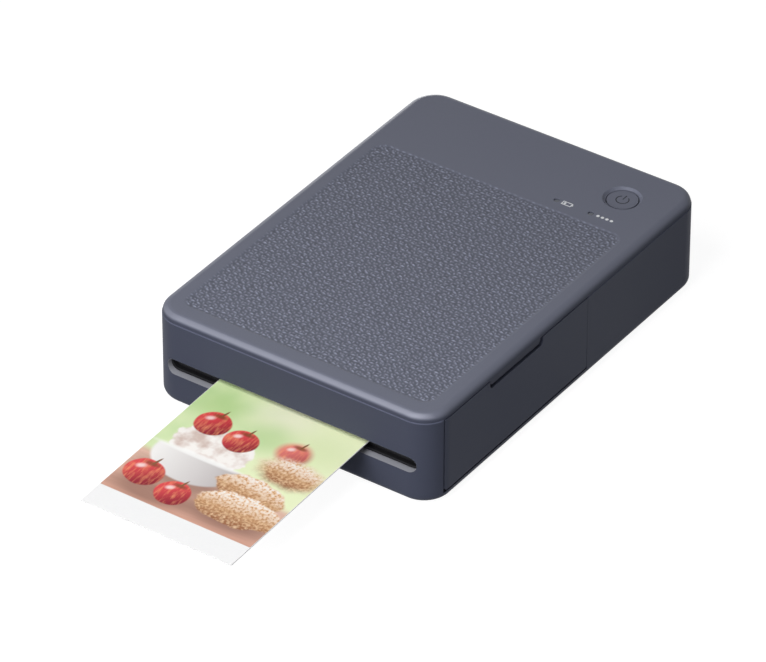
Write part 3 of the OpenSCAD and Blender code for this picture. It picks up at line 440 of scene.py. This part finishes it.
# Soft patches of the garden: place across and down the picture in mm, size and colour
GARDEN = (
    (0, 27, 10, (0.88, 0.84, 0.70)),
    (-19, 37, 8, (0.45, 0.65, 0.25)),
    (18, 39, 8, (0.70, 0.81, 0.45)),
    (2, 42, 7, (0.40, 0.62, 0.24)),
    (-13, 25, 6, (0.68, 0.80, 0.46)),
)
# Height of the table's far edge above the picture's foot and its softness in mm, and its
# fall to the right in mm for each mm
TABLE_EDGE, TABLE_SOFT, TABLE_FALL = 22, 3.5, 0.04
# What lies on the table, from the far things to the near ones: place across and above the
# picture's foot in mm, sizes, and what else the method that paints it takes
STILL_LIFE = (
    ("shadow", -8, 15, (15, 5, 0.6), {}),
    ("shadow", 13, 7, (15, 5, 0.65), {}),
    ("shadow", -13, 5, (13, 4.5, 0.6), {}),
    ("apple", 12.5, 42, (5.8,), {"soft": 0.3, "light": (0.8, 0.2, 0.18),
                                 "dark": (0.42, 0.08, 0.08)}),
    ("loaf", 17.5, 33.5, (10.5, 6.0), {"soft": 0.32}),
    ("bowl", -9.5, 24, (15.0, 10.5), {}),
    ("apple", -16.0, 41, (6.4,), {}),
    ("apple", -4.2, 38.5, (6.0,), {}),
    ("loaf", 12.0, 20.5, (12.0, 6.4, 5), {}),
    ("loaf", 13.5, 11.5, (14.0, 7.0, -3), {}),
    ("apple", -19.5, 11.5, (7.0,), {}),
    ("apple", -6.6, 8.0, (6.2,), {}),
)


class Painter:
    """Lays soft round forms over one another, in mm across and down the picture."""

    def __init__(self, graph, across, along):
        self.g = graph
        self.across = across
        self.along = along
        self.colour = None

    def form(self, x, y, rx, ry, turn=0.0, soft=0.05, warp=None):
        """Places u, v along an ellipse's half axes, and its mask: 1 where u^2 + v^2 < 1."""
        g = self.g
        dx = g.math("SUBTRACT", self.across, x)
        dy = g.math("SUBTRACT", self.along, y)
        c, s = math.cos(math.radians(turn)), math.sin(math.radians(turn))
        u = g.math("ADD", g.math("MULTIPLY", dx, c / rx), g.math("MULTIPLY", dy, s / rx))
        v = g.math("ADD", g.math("MULTIPLY", dx, -s / ry), g.math("MULTIPLY", dy, c / ry))
        r = g.math("SQRT", g.math("ADD", g.math("MULTIPLY", u, u), g.math("MULTIPLY", v, v)))
        if warp is not None:
            r = g.math("ADD", r, warp)
        return u, v, g.remap(r, 1 + soft, 1 - soft, smooth=True)

    def lay(self, mask, colour):
        """Covers what is painted so far with a colour, where the mask is 1."""
        self.colour = self.g.mix(mask, self.colour, colour)

    def garden(self):
        """Green ground out of focus, sunnier towards the right, with soft patches in it."""
        g = self.g
        haze = g.noise(34.0, 1.0)
        leaf = g.noise(60.0, 2.0)
        sun = g.remap(g.math("ADD", self.across, g.math("MULTIPLY", haze, 40.0)), 0.0, 42.0)
        green = g.mix(g.remap(leaf, 0.35, 0.65), (0.53, 0.72, 0.35), (0.73, 0.84, 0.50))
        self.colour = g.mix(sun, green, (0.82, 0.89, 0.57))
        for x, y, r, tint in GARDEN:
            _, _, patch = self.form(x, y, r, r * 0.9, soft=0.75)
            self.lay(g.math("MULTIPLY", patch, 0.5), tint)

    def table(self, foot):
        """Brown table with a long grain, redder towards the picture's foot."""
        g = self.g
        edge = foot - TABLE_EDGE
        down = g.math("ADD", self.along, g.math("MULTIPLY", self.across, -TABLE_FALL))
        board = g.remap(down, edge, edge + TABLE_SOFT, smooth=True)
        grain = g.noise(260.0, 4.0, (0.5, 5.0, 1.0))
        wood = g.mix(grain, (0.55, 0.33, 0.25), (0.86, 0.6, 0.48))
        wood = g.mix(g.remap(self.along, edge, foot), wood, (0.72, 0.42, 0.34),
                     blend="MULTIPLY")
        self.lay(board, g.mix(0.45, wood, (0.74, 0.5, 0.4)))

    def shadow(self, x, y, rx, ry, strength):
        """Darkens the ground under a form."""
        _, _, mask = self.form(x, y, rx, ry, soft=0.5)
        self.lay(self.g.math("MULTIPLY", mask, strength), (0.16, 0.07, 0.05))

    def apple(self, x, y, r, soft=0.05, light=(0.72, 0.06, 0.07), dark=(0.22, 0.0, 0.015)):
        """Red apple: streaked skin, a shine near the top and a stalk."""
        g = self.g
        wobble = g.math("MULTIPLY", g.noise(120.0, 1.0), 0.16)
        u, v, mask = self.form(x, y, r, r * 0.94, soft=soft, warp=wobble)
        slope = g.math("ADD", g.math("MULTIPLY", u, 0.55), g.math("MULTIPLY", v, 0.7))
        streak = g.noise(700.0, 3.0, (1.6, 0.35, 1.0))
        skin = g.mix(g.remap(slope, -0.7, 0.9, smooth=True), light, dark)
        skin = g.mix(g.remap(streak, 0.45, 0.75, 0, 0.6), skin, (0.93, 0.38, 0.18))
        self.lay(mask, skin)
        _, _, dimple = self.form(x, y - r * 0.62, r * 0.34, r * 0.13, soft=0.6)
        self.lay(g.math("MULTIPLY", dimple, 0.75), (0.16, 0.05, 0.01))
        _, _, shine = self.form(x - r * 0.36, y - r * 0.3, r * 0.2, r * 0.13, -30, soft=0.7)
        self.lay(g.math("MULTIPLY", shine, 0.75), (1.0, 0.83, 0.8))
        _, _, stalk = self.form(x + r * 0.08, y - r * 0.86, r * 0.055, r * 0.3, 14, soft=0.3)
        self.lay(stalk, (0.2, 0.09, 0.03))

    def loaf(self, x, y, rx, ry, turn=0.0, soft=0.06):
        """Round crusty roll: golden crust, flour on its crown and a darker foot."""
        g = self.g
        crumb = g.noise(1100.0, 4.0)
        lumps = g.noise(260.0, 2.0)
        rough = g.math("MULTIPLY_ADD", lumps, 0.34, -0.17)
        _, v, mask = self.form(x, y, rx, ry, turn, soft=soft, warp=rough)
        crust = g.mix(g.remap(v, -0.7, 0.85), (0.78, 0.46, 0.22), (0.30, 0.11, 0.04))
        crust = g.mix(g.remap(crumb, 0.42, 0.72, 0.0, 0.75), crust, (0.9, 0.66, 0.42))
        crust = g.mix(g.remap(crumb, 0.42, 0.25, 0.0, 0.7), crust, (0.3, 0.12, 0.05))
        self.lay(mask, crust)
        crown = g.math("SUBTRACT", g.remap(v, 0.25, -0.8), g.math("MULTIPLY", lumps, 0.25))
        flour = g.math("MULTIPLY", crown, g.remap(crumb, 0.38, 0.56))
        self.lay(g.math("MULTIPLY", mask, flour), (0.93, 0.89, 0.86))

    def bowl(self, x, y, rx, ry):
        """White stoneware bowl heaped with whipped cream."""
        g = self.g
        folds = g.noise(230.0, 2.5)
        _, _, heap = self.form(x, y - ry * 0.7, rx * 0.86, ry * 0.85,
                               warp=g.math("MULTIPLY_ADD", folds, 0.55, -0.28))
        cream = g.mix(g.remap(folds, 0.4, 0.66), (0.95, 0.91, 0.87), (0.66, 0.52, 0.46))
        self.lay(heap, cream)
        u, v, dish = self.form(x, y, rx, ry)
        lower = g.remap(v, -0.25, -0.15, smooth=True)
        glaze = g.mix(g.remap(u, -0.9, 0.9), (0.9, 0.88, 0.86), (0.5, 0.46, 0.46))
        self.lay(g.math("MULTIPLY", dish, lower), glaze)
        _, _, rim = self.form(x, y - ry * 0.2, rx * 0.99, ry * 0.1, soft=0.5)
        self.lay(g.math("MULTIPLY", rim, 0.8), (0.98, 0.97, 0.95))


# Widths over which the ink ends at the sides and at the ends of the picture, in mm, and
# at the card's edge under its upper face
INK_SIDE, INK_END, INK_UNDER = 0.12, 0.15, 0.08 * MM


def sheet_middle(g, y):
    """Height of the middle of the card at a depth y: a straight slope between its ends."""
    rise = (sheet_hi.z - sheet_lo.z - SHEET_THICK) / (sheet_hi.y - sheet_lo.y)
    return g.math("MULTIPLY_ADD", y, rise, sheet_lo.z + SHEET_THICK / 2 - sheet_lo.y * rise)


def printed_picture(name, settings, outer_y, half_width):
    """Glossy card, white at both ends and below: a kitchen still life in a garden."""
    g = Graph(name)
    x, y, z = g.axes()
    across = g.math("MULTIPLY", x, 1 / MM)
    top = outer_y + settings.tab_length + settings.picture_length
    along = g.math("MULTIPLY", g.math("SUBTRACT", top, y), 1 / MM)
    length = settings.picture_length / MM
    p = Painter(g, across, along)
    p.garden()
    p.table(length)
    for form, place, height, sizes, extra in STILL_LIFE:
        getattr(p, form)(place, length - height, *sizes, **extra)
    half = (half_width - settings.border) / MM
    inside_x = g.remap(g.math("ABSOLUTE", across), half, half - INK_SIDE)
    inside_y = g.math("MULTIPLY", g.remap(along, 0.0, INK_END),
                      g.remap(along, length, length - INK_END))
    middle = sheet_middle(g, y)
    face = g.remap(z, middle, g.math("ADD", middle, INK_UNDER))
    inked = g.math("MULTIPLY", g.math("MULTIPLY", inside_x, inside_y), face)
    fibre = g.noise(1500.0, 3.0)
    card = g.mix(fibre, (0.85, 0.848, 0.85), (0.89, 0.888, 0.89))
    g.set(Base_Color=g.mix(inked, card, p.colour), Specular_IOR_Level=0.3)
    g.set(Roughness=g.remap(inked, 0, 1, 0.55, 0.32))
    g.bump(fibre, 0.08, 0.01 * MM)
    return g.material


# ---------------------------------------------------------------- meshes

def new_piece(name, points, faces, material, body, smooth=False):
    """A mesh piece that rides on a body and takes its finish from a slot."""
    mesh = bpy.data.meshes.new(name)
    mesh.from_pydata(points.tolist(), [], faces)
    mesh.materials.append(material)
    mesh.polygons.foreach_set("use_smooth", np.full(len(mesh.polygons), smooth))
    mesh.update()
    piece = bpy.data.objects.new(name, mesh)
    bpy.context.scene.collection.objects.link(piece)
    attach(piece, body)
    return piece


def grid_faces(rows, columns):
    """Quads that join a grid of points, counted row by row."""
    start = np.arange(rows * columns).reshape(rows, columns)
    corners = (start[:-1, :-1], start[:-1, 1:], start[1:, 1:], start[1:, :-1])
    return np.stack([c.ravel() for c in corners], axis=1).tolist()


# Seed of the draws below, and how far a copy of a ridge may be moved, in parts of the
# pitch, turned, in degrees, and made higher or lower, as a part of its height
RIDGE_SEED = 4
RIDGE_SHIFT, RIDGE_TURN, RIDGE_LEVEL = 0.09, 22, 0.25
# Centre, half sizes, turn and height of each ridge, in parts of the pitch
RIDGES = (
    (0.35, 0.70, 0.28, 0.11, -12, 1.0),
    (0.28, 0.24, 0.19, 0.10, -20, 0.6),
    (0.84, 0.08, 0.10, 0.22, 18, 0.75),
)
# How far the relief's border reaches over the pocket's edge, and stands above the margin
RELIEF_OVER, RELIEF_LIFT = 0.1 * MM, 0.006 * MM


def relief_height(x, y, pitch):
    """Height from 0 to 1 of the woven relief, much the same in each square of one pitch.

    It is the sum of flat bell shapes, exp(-(u/a)^2 - (v/b)^2), each turned by its own
    angle: a long ridge across, a small one before it and an upright one that joins rows.
    Each copy is moved, turned and lowered a little by a seeded draw, as in a real weave.
    """
    draw = np.random.default_rng(RIDGE_SEED)
    total = np.zeros_like(x)
    for cx, cy, a, b, turn, height in RIDGES:
        column = np.floor(x / pitch - cx + 0.5).astype(int)
        row = np.floor(y / pitch - cy + 0.5).astype(int)
        column, row = column - column.min(), row - row.min()
        part = draw.uniform(-1, 1, (4, row.max() + 1, column.max() + 1))[:, row, column]
        du = (x / pitch - cx + 0.5) % 1.0 - 0.5 - RIDGE_SHIFT * part[0]
        dv = (y / pitch - cy + 0.5) % 1.0 - 0.5 - RIDGE_SHIFT * part[1]
        angle = np.radians(turn + RIDGE_TURN * part[2])
        c, s = np.cos(angle), np.sin(angle)
        u, v = c * du + s * dv, c * dv - s * du
        total += height * (1 + RIDGE_LEVEL * part[3]) * np.exp(-(u / a) ** 2 - (v / b) ** 2)
    return np.clip(total, 0, 1)


def rounded_inside(x, y, lo, hi, radius):
    """Distance inside a rectangle with round corners: positive within, 0 on its edge."""
    cx, cy = (lo[0] + hi[0]) / 2, (lo[1] + hi[1]) / 2
    dx = np.abs(x - cx) - (hi[0] - lo[0]) / 2 + radius
    dy = np.abs(y - cy) - (hi[1] - lo[1]) / 2 + radius
    outside = np.hypot(np.maximum(dx, 0), np.maximum(dy, 0))
    return radius - outside - np.minimum(np.maximum(dx, dy), 0)


def relief_surface(s):
    """Points of the lid's relief, and how far each is above its mean height.

    The grid is even in x and y. Points outside the round corners slide in along the line
    to the corner's centre. Over the border the ground sinks by a smooth step, 3p^2 - 2p^3
    at the part p of the way across, and the ridges of the weave rise from it.
    """
    lo = (case_lo.x + s.side_margin - RELIEF_OVER, case_lo.y + s.front_margin - RELIEF_OVER)
    hi = (case_hi.x - s.side_margin + RELIEF_OVER, case_hi.y - s.rear_margin + RELIEF_OVER)
    nx = int(round((hi[0] - lo[0]) / s.pitch * s.steps / 2)) * 2
    ny = int(round((hi[1] - lo[1]) / s.pitch * s.steps))
    x, y = np.meshgrid(np.linspace(lo[0], hi[0], nx + 1), np.linspace(lo[1], hi[1], ny + 1))
    cx = np.clip(x, lo[0] + s.corner_radius, hi[0] - s.corner_radius)
    cy = np.clip(y, lo[1] + s.corner_radius, hi[1] - s.corner_radius)
    reach = np.hypot(x - cx, y - cy)
    pull = np.minimum(1.0, s.corner_radius / np.maximum(reach, 1e-9))
    x, y = cx + (x - cx) * pull, cy + (y - cy) * pull
    inside = rounded_inside(x, y, lo, hi, s.corner_radius)
    part = np.clip((inside - 2 * RELIEF_OVER) / s.border, 0, 1)
    sink = part * part * (3 - 2 * part)
    rise = relief_height(x, y, s.pitch)
    z = cover_hi.z + RELIEF_LIFT - (s.height + RELIEF_LIFT) * sink * (1 - rise)
    return np.stack([x, y, z], axis=-1), sink * (rise - rise.mean())


def arc_band(cx, cy, radius, width, start, end, steps):
    """Flat ring piece: points at radius minus and plus half a width, over an angle."""
    angle = np.linspace(math.radians(start), math.radians(end), steps)
    rim = np.array([radius - width / 2, radius + width / 2])
    r, a = np.meshgrid(rim, angle)
    return np.stack([cx + r * np.cos(a), cy + r * np.sin(a)], axis=-1).reshape(-1, 2)


def flat_solid(outline, z0, z1):
    """Prism over a closed outline: its points at both heights, and its faces."""
    n = len(outline)
    low = np.column_stack([outline, np.full(n, z0)])
    high = np.column_stack([outline, np.full(n, z1)])
    faces = [list(range(n - 1, -1, -1)), list(range(n, 2 * n))]
    faces += [[i, (i + 1) % n, n + (i + 1) % n, n + i] for i in range(n)]
    return np.vstack([low, high]), faces


def box_outline(x0, y0, x1, y1):
    """Corners of an upright rectangle, counter-clockwise."""
    return np.array([[x0, y0], [x1, y0], [x1, y1], [x0, y1]])


def make_marks(name, outlines, z0, z1, material, body):
    """Prisms over closed outlines, joined into one piece."""
    points, faces, base = [], [], 0
    for outline in outlines:
        corners, sides = flat_solid(outline, z0, z1)
        points.append(corners)
        faces += [[base + i for i in side] for side in sides]
        base += len(corners)
    new_piece(name, np.vstack(points), faces, material, body)


# ---------------------------------------------------------------- finishes

def finish_nodes(scene):
    """Gives each CAD node its own procedural finish."""
    casing = scene.printer_casing
    lid = lid_plastic(casing)
    key = moulded_plastic("button_plastic", tuple(casing.lid_lit_colour), casing.grain_size,
                          casing.roughness, LID_TINT)
    body = body_plastic(casing)
    black = moulded_plastic("black_plastic", (0.012, 0.012, 0.014), roughness=0.45)
    dark = moulded_plastic("cassette_plastic", (0.05, 0.055, 0.065), roughness=0.4)
    gear = moulded_plastic("gear_plastic", (0.72, 0.69, 0.6), roughness=0.35)
    steel = rolled_steel("plate_steel", (0.58, 0.59, 0.61))
    turned = rolled_steel("turned_steel", (0.62, 0.62, 0.64), 0.2, (60, 1, 1))
    zinc = rolled_steel("zinc_steel", (0.5, 0.51, 0.52), 0.35, (8, 30, 30))
    brass = rolled_steel("turned_brass", (0.72, 0.5, 0.2), 0.25, (60, 1, 1))
    alloy = rolled_steel("extruded_alloy", (0.72, 0.73, 0.75), 0.35, (1, 80, 80))
    rubber = ground_rubber("roller_rubber", (0.025, 0.025, 0.027))
    foot = ground_rubber("foot_rubber", (0.018, 0.018, 0.018), 0.85)
    film = gloss_plastic("ribbon_film", (0.3, 0.04, 0.16))
    wrap = gloss_plastic("battery_wrap", (0.03, 0.035, 0.05), 0.25)
    flex = gloss_plastic("flex_film", (0.5, 0.24, 0.05), 0.2)
    board = circuit_board("board_mask", (0.012, 0.09, 0.04), (0.75, 0.72, 0.65))
    ceramic = glazed_ceramic("head_ceramic", (0.75, 0.72, 0.64))
    lamp = lamp_plastic("lamp_plastic", (0.05, 0.058, 0.085))
    blank = ground_rubber("blank_card", (0.86, 0.87, 0.88), 0.6)
    picture = printed_picture("printed_card", scene.printer_print, sheet_lo.y, sheet_hi.x)
    finishes = {
        lid: ("top_cover",),
        key: ("power_button",),
        body: ("lower_case", "side_door", "paper_hatch"),
        black: ("slot_throat", "door_latch", "feed_ramp", "power_switch"),
        dark: ("cassette_shell",),
        gear: ("grip_gear", "platen_gear", "roller_idler_gear", "drive_idler_gear",
               "takeup_gear"),
        steel: ("left_side_plate", "right_side_plate", "head_bridge", "head_bracket",
                "lift_plate", "usb_socket"),
        turned: ("grip_shaft", "platen_shaft", "pickup_shaft", "pinch_roller",
                 "head_pivot_shaft", "door_hinge_pins", "hatch_hinge_pins", "case_screws"),
        zinc: ("feed_motor", "pickup_motor"),
        brass: ("motor_pinion",),
        alloy: ("head_heat_sink",),
        rubber: ("grip_roller", "platen_roller", "pickup_roller"),
        foot: ("rubber_feet",),
        film: ("ink_ribbon", "takeup_spool", "supply_spool"),
        wrap: ("battery_pack",),
        flex: ("head_cable",),
        board: ("main_board",),
        ceramic: ("print_head",),
        lamp: ("lamp_windows",),
        blank: ("paper_stack",),
        picture: ("printed_sheet",),
    }
    for material, names in finishes.items():
        for name in names:
            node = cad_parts[name]
            node.data.materials.clear()
            node.data.materials.append(material)
    left = [n for n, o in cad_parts.items() if not o.data.materials]
    if left:
        raise RuntimeError(f"nodes without a finish: {left}")


class PRINTER_OT_finishes(bpy.types.Operator):
    """Gives every part of the printer its material"""
    bl_idname = "printer.finishes"
    bl_label = "Finishes"

    def execute(self, context):
        finish_nodes(context.scene)
        return {"FINISHED"}


class PRINTER_OT_relief(bpy.types.Operator):
    """Fills the lid's pocket with its woven relief"""
    bl_idname = "printer.relief"
    bl_label = "Lid relief"

    def execute(self, context):
        points, weave = relief_surface(context.scene.printer_relief)
        middle = points.shape[1] // 2
        plastic = relief_plastic(context.scene.printer_casing)
        for side, columns in (("left", slice(None, middle + 1)), ("right", slice(middle, None))):
            half = points[:, columns]
            piece = new_piece("lid_relief_" + side, half.reshape(-1, 3),
                              grid_faces(*half.shape[:2]), plastic, "case",
                              smooth=True)
            # Height above the mean, which relief_plastic turns into painted light and shade
            values = piece.data.attributes.new("weave", "FLOAT", "POINT").data
            values.foreach_set("value", weave[:, columns].ravel())
        return {"FINISHED"}


# Opening of the power symbol's ring at the rear, in degrees, and the ring's steps
RING_GAP, RING_STEPS = 70, 49
# Ends of its stroke, from the ring's centre, in parts of the ring's radius
STROKE_ENDS = 0.1, 1.25
# Cell symbol in parts of its height: length, line, knob's length and half width, the
# charge's end and half height, and its start in line widths
CELL_LENGTH, CELL_LINE = 1.9, 0.16
KNOB_LENGTH, KNOB_HALF = 0.2, 0.2
CHARGE_START, CHARGE_END, CHARGE_HALF = 2.2, 0.75, 0.25
# Row of dots: their number and corners, and the first one's place, their step and their
# radius in parts of the symbol's height
DOTS, DOT_CORNERS = 4, 24
DOT_START, DOT_STEP, DOT_RADIUS = 0.3, 0.9, 0.3


class PRINTER_OT_button_mark(bpy.types.Operator):
    """Paints the power symbol on the button as a recess's shade: a ring open at the rear, a
    stroke
    """
    bl_idname = "printer.button_mark"
    bl_label = "Button mark"

    def execute(self, context):
        s = context.scene.printer_marks
        # Painted shade: near-black slab where a moulded recess would lie in shade
        recess_shade = moulded_plastic("mark_recess", (0.016, 0.017, 0.022), roughness=0.6)
        cx, cy = (button_lo.x + button_hi.x) / 2, (button_lo.y + button_hi.y) / 2
        z0, z1 = button_hi.z - s.ink_thickness, button_hi.z + s.ink_thickness
        band = arc_band(cx, cy, s.ring_radius, s.stroke, 90 + RING_GAP / 2,
                        450 - RING_GAP / 2, RING_STEPS)
        ring = np.vstack([band[0::2], band[1::2][::-1]])
        low, high = (cy + end * s.ring_radius for end in STROKE_ENDS)
        stroke = box_outline(cx - s.stroke / 2, low, cx + s.stroke / 2, high)
        for name, outline in (("power_ring", ring), ("power_stroke", stroke)):
            make_marks(name, [outline], z0, z1, recess_shade, "button")
        return {"FINISHED"}


class PRINTER_OT_lamp_marks(bpy.types.Operator):
    """Prints a small cell symbol and a row of dots beside the lamps"""
    bl_idname = "printer.lamp_marks"
    bl_label = "Lamp marks"

    def execute(self, context):
        s = context.scene.printer_marks
        white = moulded_plastic("white_ink", (0.78, 0.79, 0.81), roughness=0.5)
        y = (lamp_lo.y + lamp_hi.y) / 2
        radius = (lamp_hi.y - lamp_lo.y) / 2
        h = s.icon_height
        z0, z1 = cover_hi.z - s.ink_thickness, cover_hi.z + s.ink_thickness
        left = lamp_lo.x + radius + s.icon_offset
        right = lamp_hi.x - radius + s.icon_offset
        t = CELL_LINE * h
        end = left + CELL_LENGTH * h
        cell = [
            box_outline(left, y - h / 2, end, y - h / 2 + t),
            box_outline(left, y + h / 2 - t, end, y + h / 2),
            box_outline(left, y - h / 2 + t, left + t, y + h / 2 - t),
            box_outline(end - t, y - h / 2 + t, end, y + h / 2 - t),
            box_outline(end, y - KNOB_HALF * h, end + KNOB_LENGTH * h, y + KNOB_HALF * h),
            box_outline(left + CHARGE_START * t, y - CHARGE_HALF * h,
                        left + CHARGE_END * h, y + CHARGE_HALF * h),
        ]
        turn = np.linspace(0, 2 * math.pi, DOT_CORNERS + 1)[:-1]
        rim = DOT_RADIUS * h * np.column_stack([np.cos(turn), np.sin(turn)])
        dots = [rim + (right + h * (DOT_START + k * DOT_STEP), y) for k in range(DOTS)]
        make_marks("cell_symbol", cell, z0, z1, white, "case")
        make_marks("dot_row", dots, z0, z1, white, "case")
        return {"FINISHED"}


# ---------------------------------------------------------------- studio

# Name, setting of the power, place, point it faces and side of each lamp, in metres
LAMPS = (
    ("front_softbox", "key_power", (0.0, -0.30, 0.42), (0, -0.05, 0.02), 0.3),
    ("low_fill", "fill_power", (-0.1, -1.12, 0.35), (0, -0.03, 0.02), 0.5),
    ("rear_fill", "rear_power", (-0.7, 0.85, 0.015), (0, 0.03, 0.015), 0.06),
    ("side_fill", "side_power", (0.75, -0.5, 0.12), (0.05, -0.02, 0.015), 0.3),
)
AMBIENT_COLOUR = (0.93, 0.96, 1.0, 1)
# Half the floor's side and how far it lies under the feet, its grey and its own glow
FLOOR_HALF, FLOOR_DROP = 6.0, 0.05 * MM
FLOOR_GREY, FLOOR_GLOW = (0.25, 0.25, 0.25), 0.93
# Width of the sensor in mm, and the distances from which and to which the camera sees
SENSOR_WIDTH, CLIP_RANGE = 36, (0.1, 20)


def camera_axes(s):
    """The camera's right, up and back directions, from azimuth, elevation and roll."""
    a, e, r = s.azimuth, s.elevation, s.roll
    back = Vector((math.sin(a) * math.cos(e), -math.cos(a) * math.cos(e), math.sin(e)))
    right = Vector((math.cos(a), math.sin(a), 0))
    up = back.cross(right)
    turned_right = right * math.cos(r) + up * math.sin(r)
    return turned_right, up * math.cos(r) - right * math.sin(r), back


def area_lamp(name, power, place, aim, size):
    """A square soft white lamp that faces a point."""
    data = bpy.data.lights.new(name, "AREA")
    data.size = size
    data.energy = power
    lamp = bpy.data.objects.new(name, data)
    lamp.location = place
    lamp.rotation_euler = (Vector(aim) - Vector(place)).to_track_quat("-Z", "Y").to_euler()
    bpy.context.scene.collection.objects.link(lamp)


def seen_rays(tree):
    """1 for camera, glossy and transmitted rays, which see plain white, and 0 for others."""
    path = tree.nodes.new("ShaderNodeLightPath")
    seen = tree.nodes.new("ShaderNodeMath")
    seen.operation = "MAXIMUM"
    tree.links.new(path.outputs["Is Camera Ray"], seen.inputs[0])
    either = tree.nodes.new("ShaderNodeMath")
    either.operation = "MAXIMUM"
    tree.links.new(path.outputs["Is Glossy Ray"], either.inputs[0])
    tree.links.new(path.outputs["Is Transmission Ray"], either.inputs[1])
    tree.links.new(either.outputs[0], seen.inputs[1])
    return seen.outputs[0]


class PRINTER_OT_studio(bpy.types.Operator):
    """Sets the white floor, the soft lamps and the camera"""
    bl_idname = "printer.studio"
    bl_label = "Studio"

    def execute(self, context):
        s = context.scene.printer_studio
        self.make_world(context.scene, s)
        self.make_floor()
        for name, power, place, aim, size in LAMPS:
            area_lamp(name, getattr(s, power), place, aim, size)
        self.make_camera(context.scene, s)
        return {"FINISHED"}

    def make_world(self, scene, s):
        """Even light all round, and plain white where it is seen."""
        world = bpy.data.worlds.new("studio_world")
        world.use_nodes = True
        tree = world.node_tree
        seen = seen_rays(tree)
        around = tree.nodes["Background"]
        around.inputs["Strength"].default_value = s.ambient
        around.inputs["Color"].default_value = AMBIENT_COLOUR
        white = tree.nodes.new("ShaderNodeBackground")
        white.inputs["Color"].default_value = (1, 1, 1, 1)
        choose = tree.nodes.new("ShaderNodeMixShader")
        tree.links.new(seen, choose.inputs[0])
        tree.links.new(around.outputs[0], choose.inputs[1])
        tree.links.new(white.outputs[0], choose.inputs[2])
        tree.links.new(choose.outputs[0], tree.nodes["World Output"].inputs[0])
        scene.world = world

    def make_floor(self):
        """Matt floor with soft shadows, whose glow only camera and mirrored rays meet."""
        g = Graph("studio_floor")
        tree = g.tree
        g.set(Base_Color=FLOOR_GREY, Roughness=0.9, Specular_IOR_Level=0.0)
        glow = tree.nodes.new("ShaderNodeEmission")
        lit = tree.nodes.new("ShaderNodeAddShader")
        seen = seen_rays(tree)
        tree.links.new(g.math("MULTIPLY", seen, FLOOR_GLOW), glow.inputs["Strength"])
        tree.links.new(g.shader.outputs[0], lit.inputs[0])
        tree.links.new(glow.outputs[0], lit.inputs[1])
        # Seen from below, the floor lets the underside show through
        glass = tree.nodes.new("ShaderNodeBsdfTransparent")
        side = tree.nodes.new("ShaderNodeNewGeometry").outputs["Backfacing"]
        either = tree.nodes.new("ShaderNodeMixShader")
        for k, socket in enumerate((side, lit.outputs[0], glass.outputs[0])):
            tree.links.new(socket, either.inputs[k])
        tree.links.new(either.outputs[0], tree.nodes["Material Output"].inputs[0])
        mesh = bpy.data.meshes.new("studio_floor")
        outline = box_outline(-FLOOR_HALF, -FLOOR_HALF, FLOOR_HALF, FLOOR_HALF)
        corners = np.column_stack([outline, np.full(len(outline), -FLOOR_DROP)])
        mesh.from_pydata(corners.tolist(), [], [[0, 1, 2, 3]])
        mesh.materials.append(g.material)
        floor = bpy.data.objects.new("studio_floor", mesh)
        bpy.context.scene.collection.objects.link(floor)

    def make_camera(self, scene, s):
        """Camera at its distance from the target, with colours shown as they are."""
        right, up, back = camera_axes(s)
        data = bpy.data.cameras.new("studio_camera")
        data.sensor_width = SENSOR_WIDTH
        data.lens = s.lens
        data.clip_start, data.clip_end = CLIP_RANGE
        camera = bpy.data.objects.new("studio_camera", data)
        turn = Matrix((right, up, back)).transposed().to_4x4()
        place = Vector(s.target) + back * s.distance
        camera.matrix_world = Matrix.Translation(place) @ turn
        scene.collection.objects.link(camera)
        scene.camera = camera
        scene.view_settings.view_transform = "Standard"


# ---------------------------------------------------------------- panel

STEPS = ("finishes", "relief", "button_mark", "lamp_marks", "studio")


class PRINTER_PT_panel(bpy.types.Panel):
    """Lists the printer's pieces and their settings"""
    bl_idname = "PRINTER_PT_panel"
    bl_label = "Photo printer"
    bl_space_type = "VIEW_3D"
    bl_region_type = "UI"
    bl_category = "Printer"

    def draw(self, context):
        for step in STEPS:
            self.layout.operator("printer." + step)
        for group in SETTINGS:
            settings = getattr(context.scene, group)
            for name in settings.__annotations__:
                self.layout.prop(settings, name)


SETTINGS = {
    "printer_casing": CasingSettings,
    "printer_relief": ReliefSettings,
    "printer_marks": MarkSettings,
    "printer_print": PrintSettings,
    "printer_studio": StudioSettings,
}
CLASSES = (*SETTINGS.values(), PRINTER_OT_finishes, PRINTER_OT_relief,
           PRINTER_OT_button_mark, PRINTER_OT_lamp_marks, PRINTER_OT_studio,
           PRINTER_PT_panel)


def register():
    for cls in CLASSES:
        bpy.utils.register_class(cls)
    for name, cls in SETTINGS.items():
        setattr(bpy.types.Scene, name, bpy.props.PointerProperty(type=cls))


def unregister():
    for name in SETTINGS:
        delattr(bpy.types.Scene, name)
    for cls in reversed(CLASSES):
        bpy.utils.unregister_class(cls)


def main():
    register()
    for step in STEPS:
        getattr(bpy.ops.printer, step)()


if __name__ == "__main__":
    main()
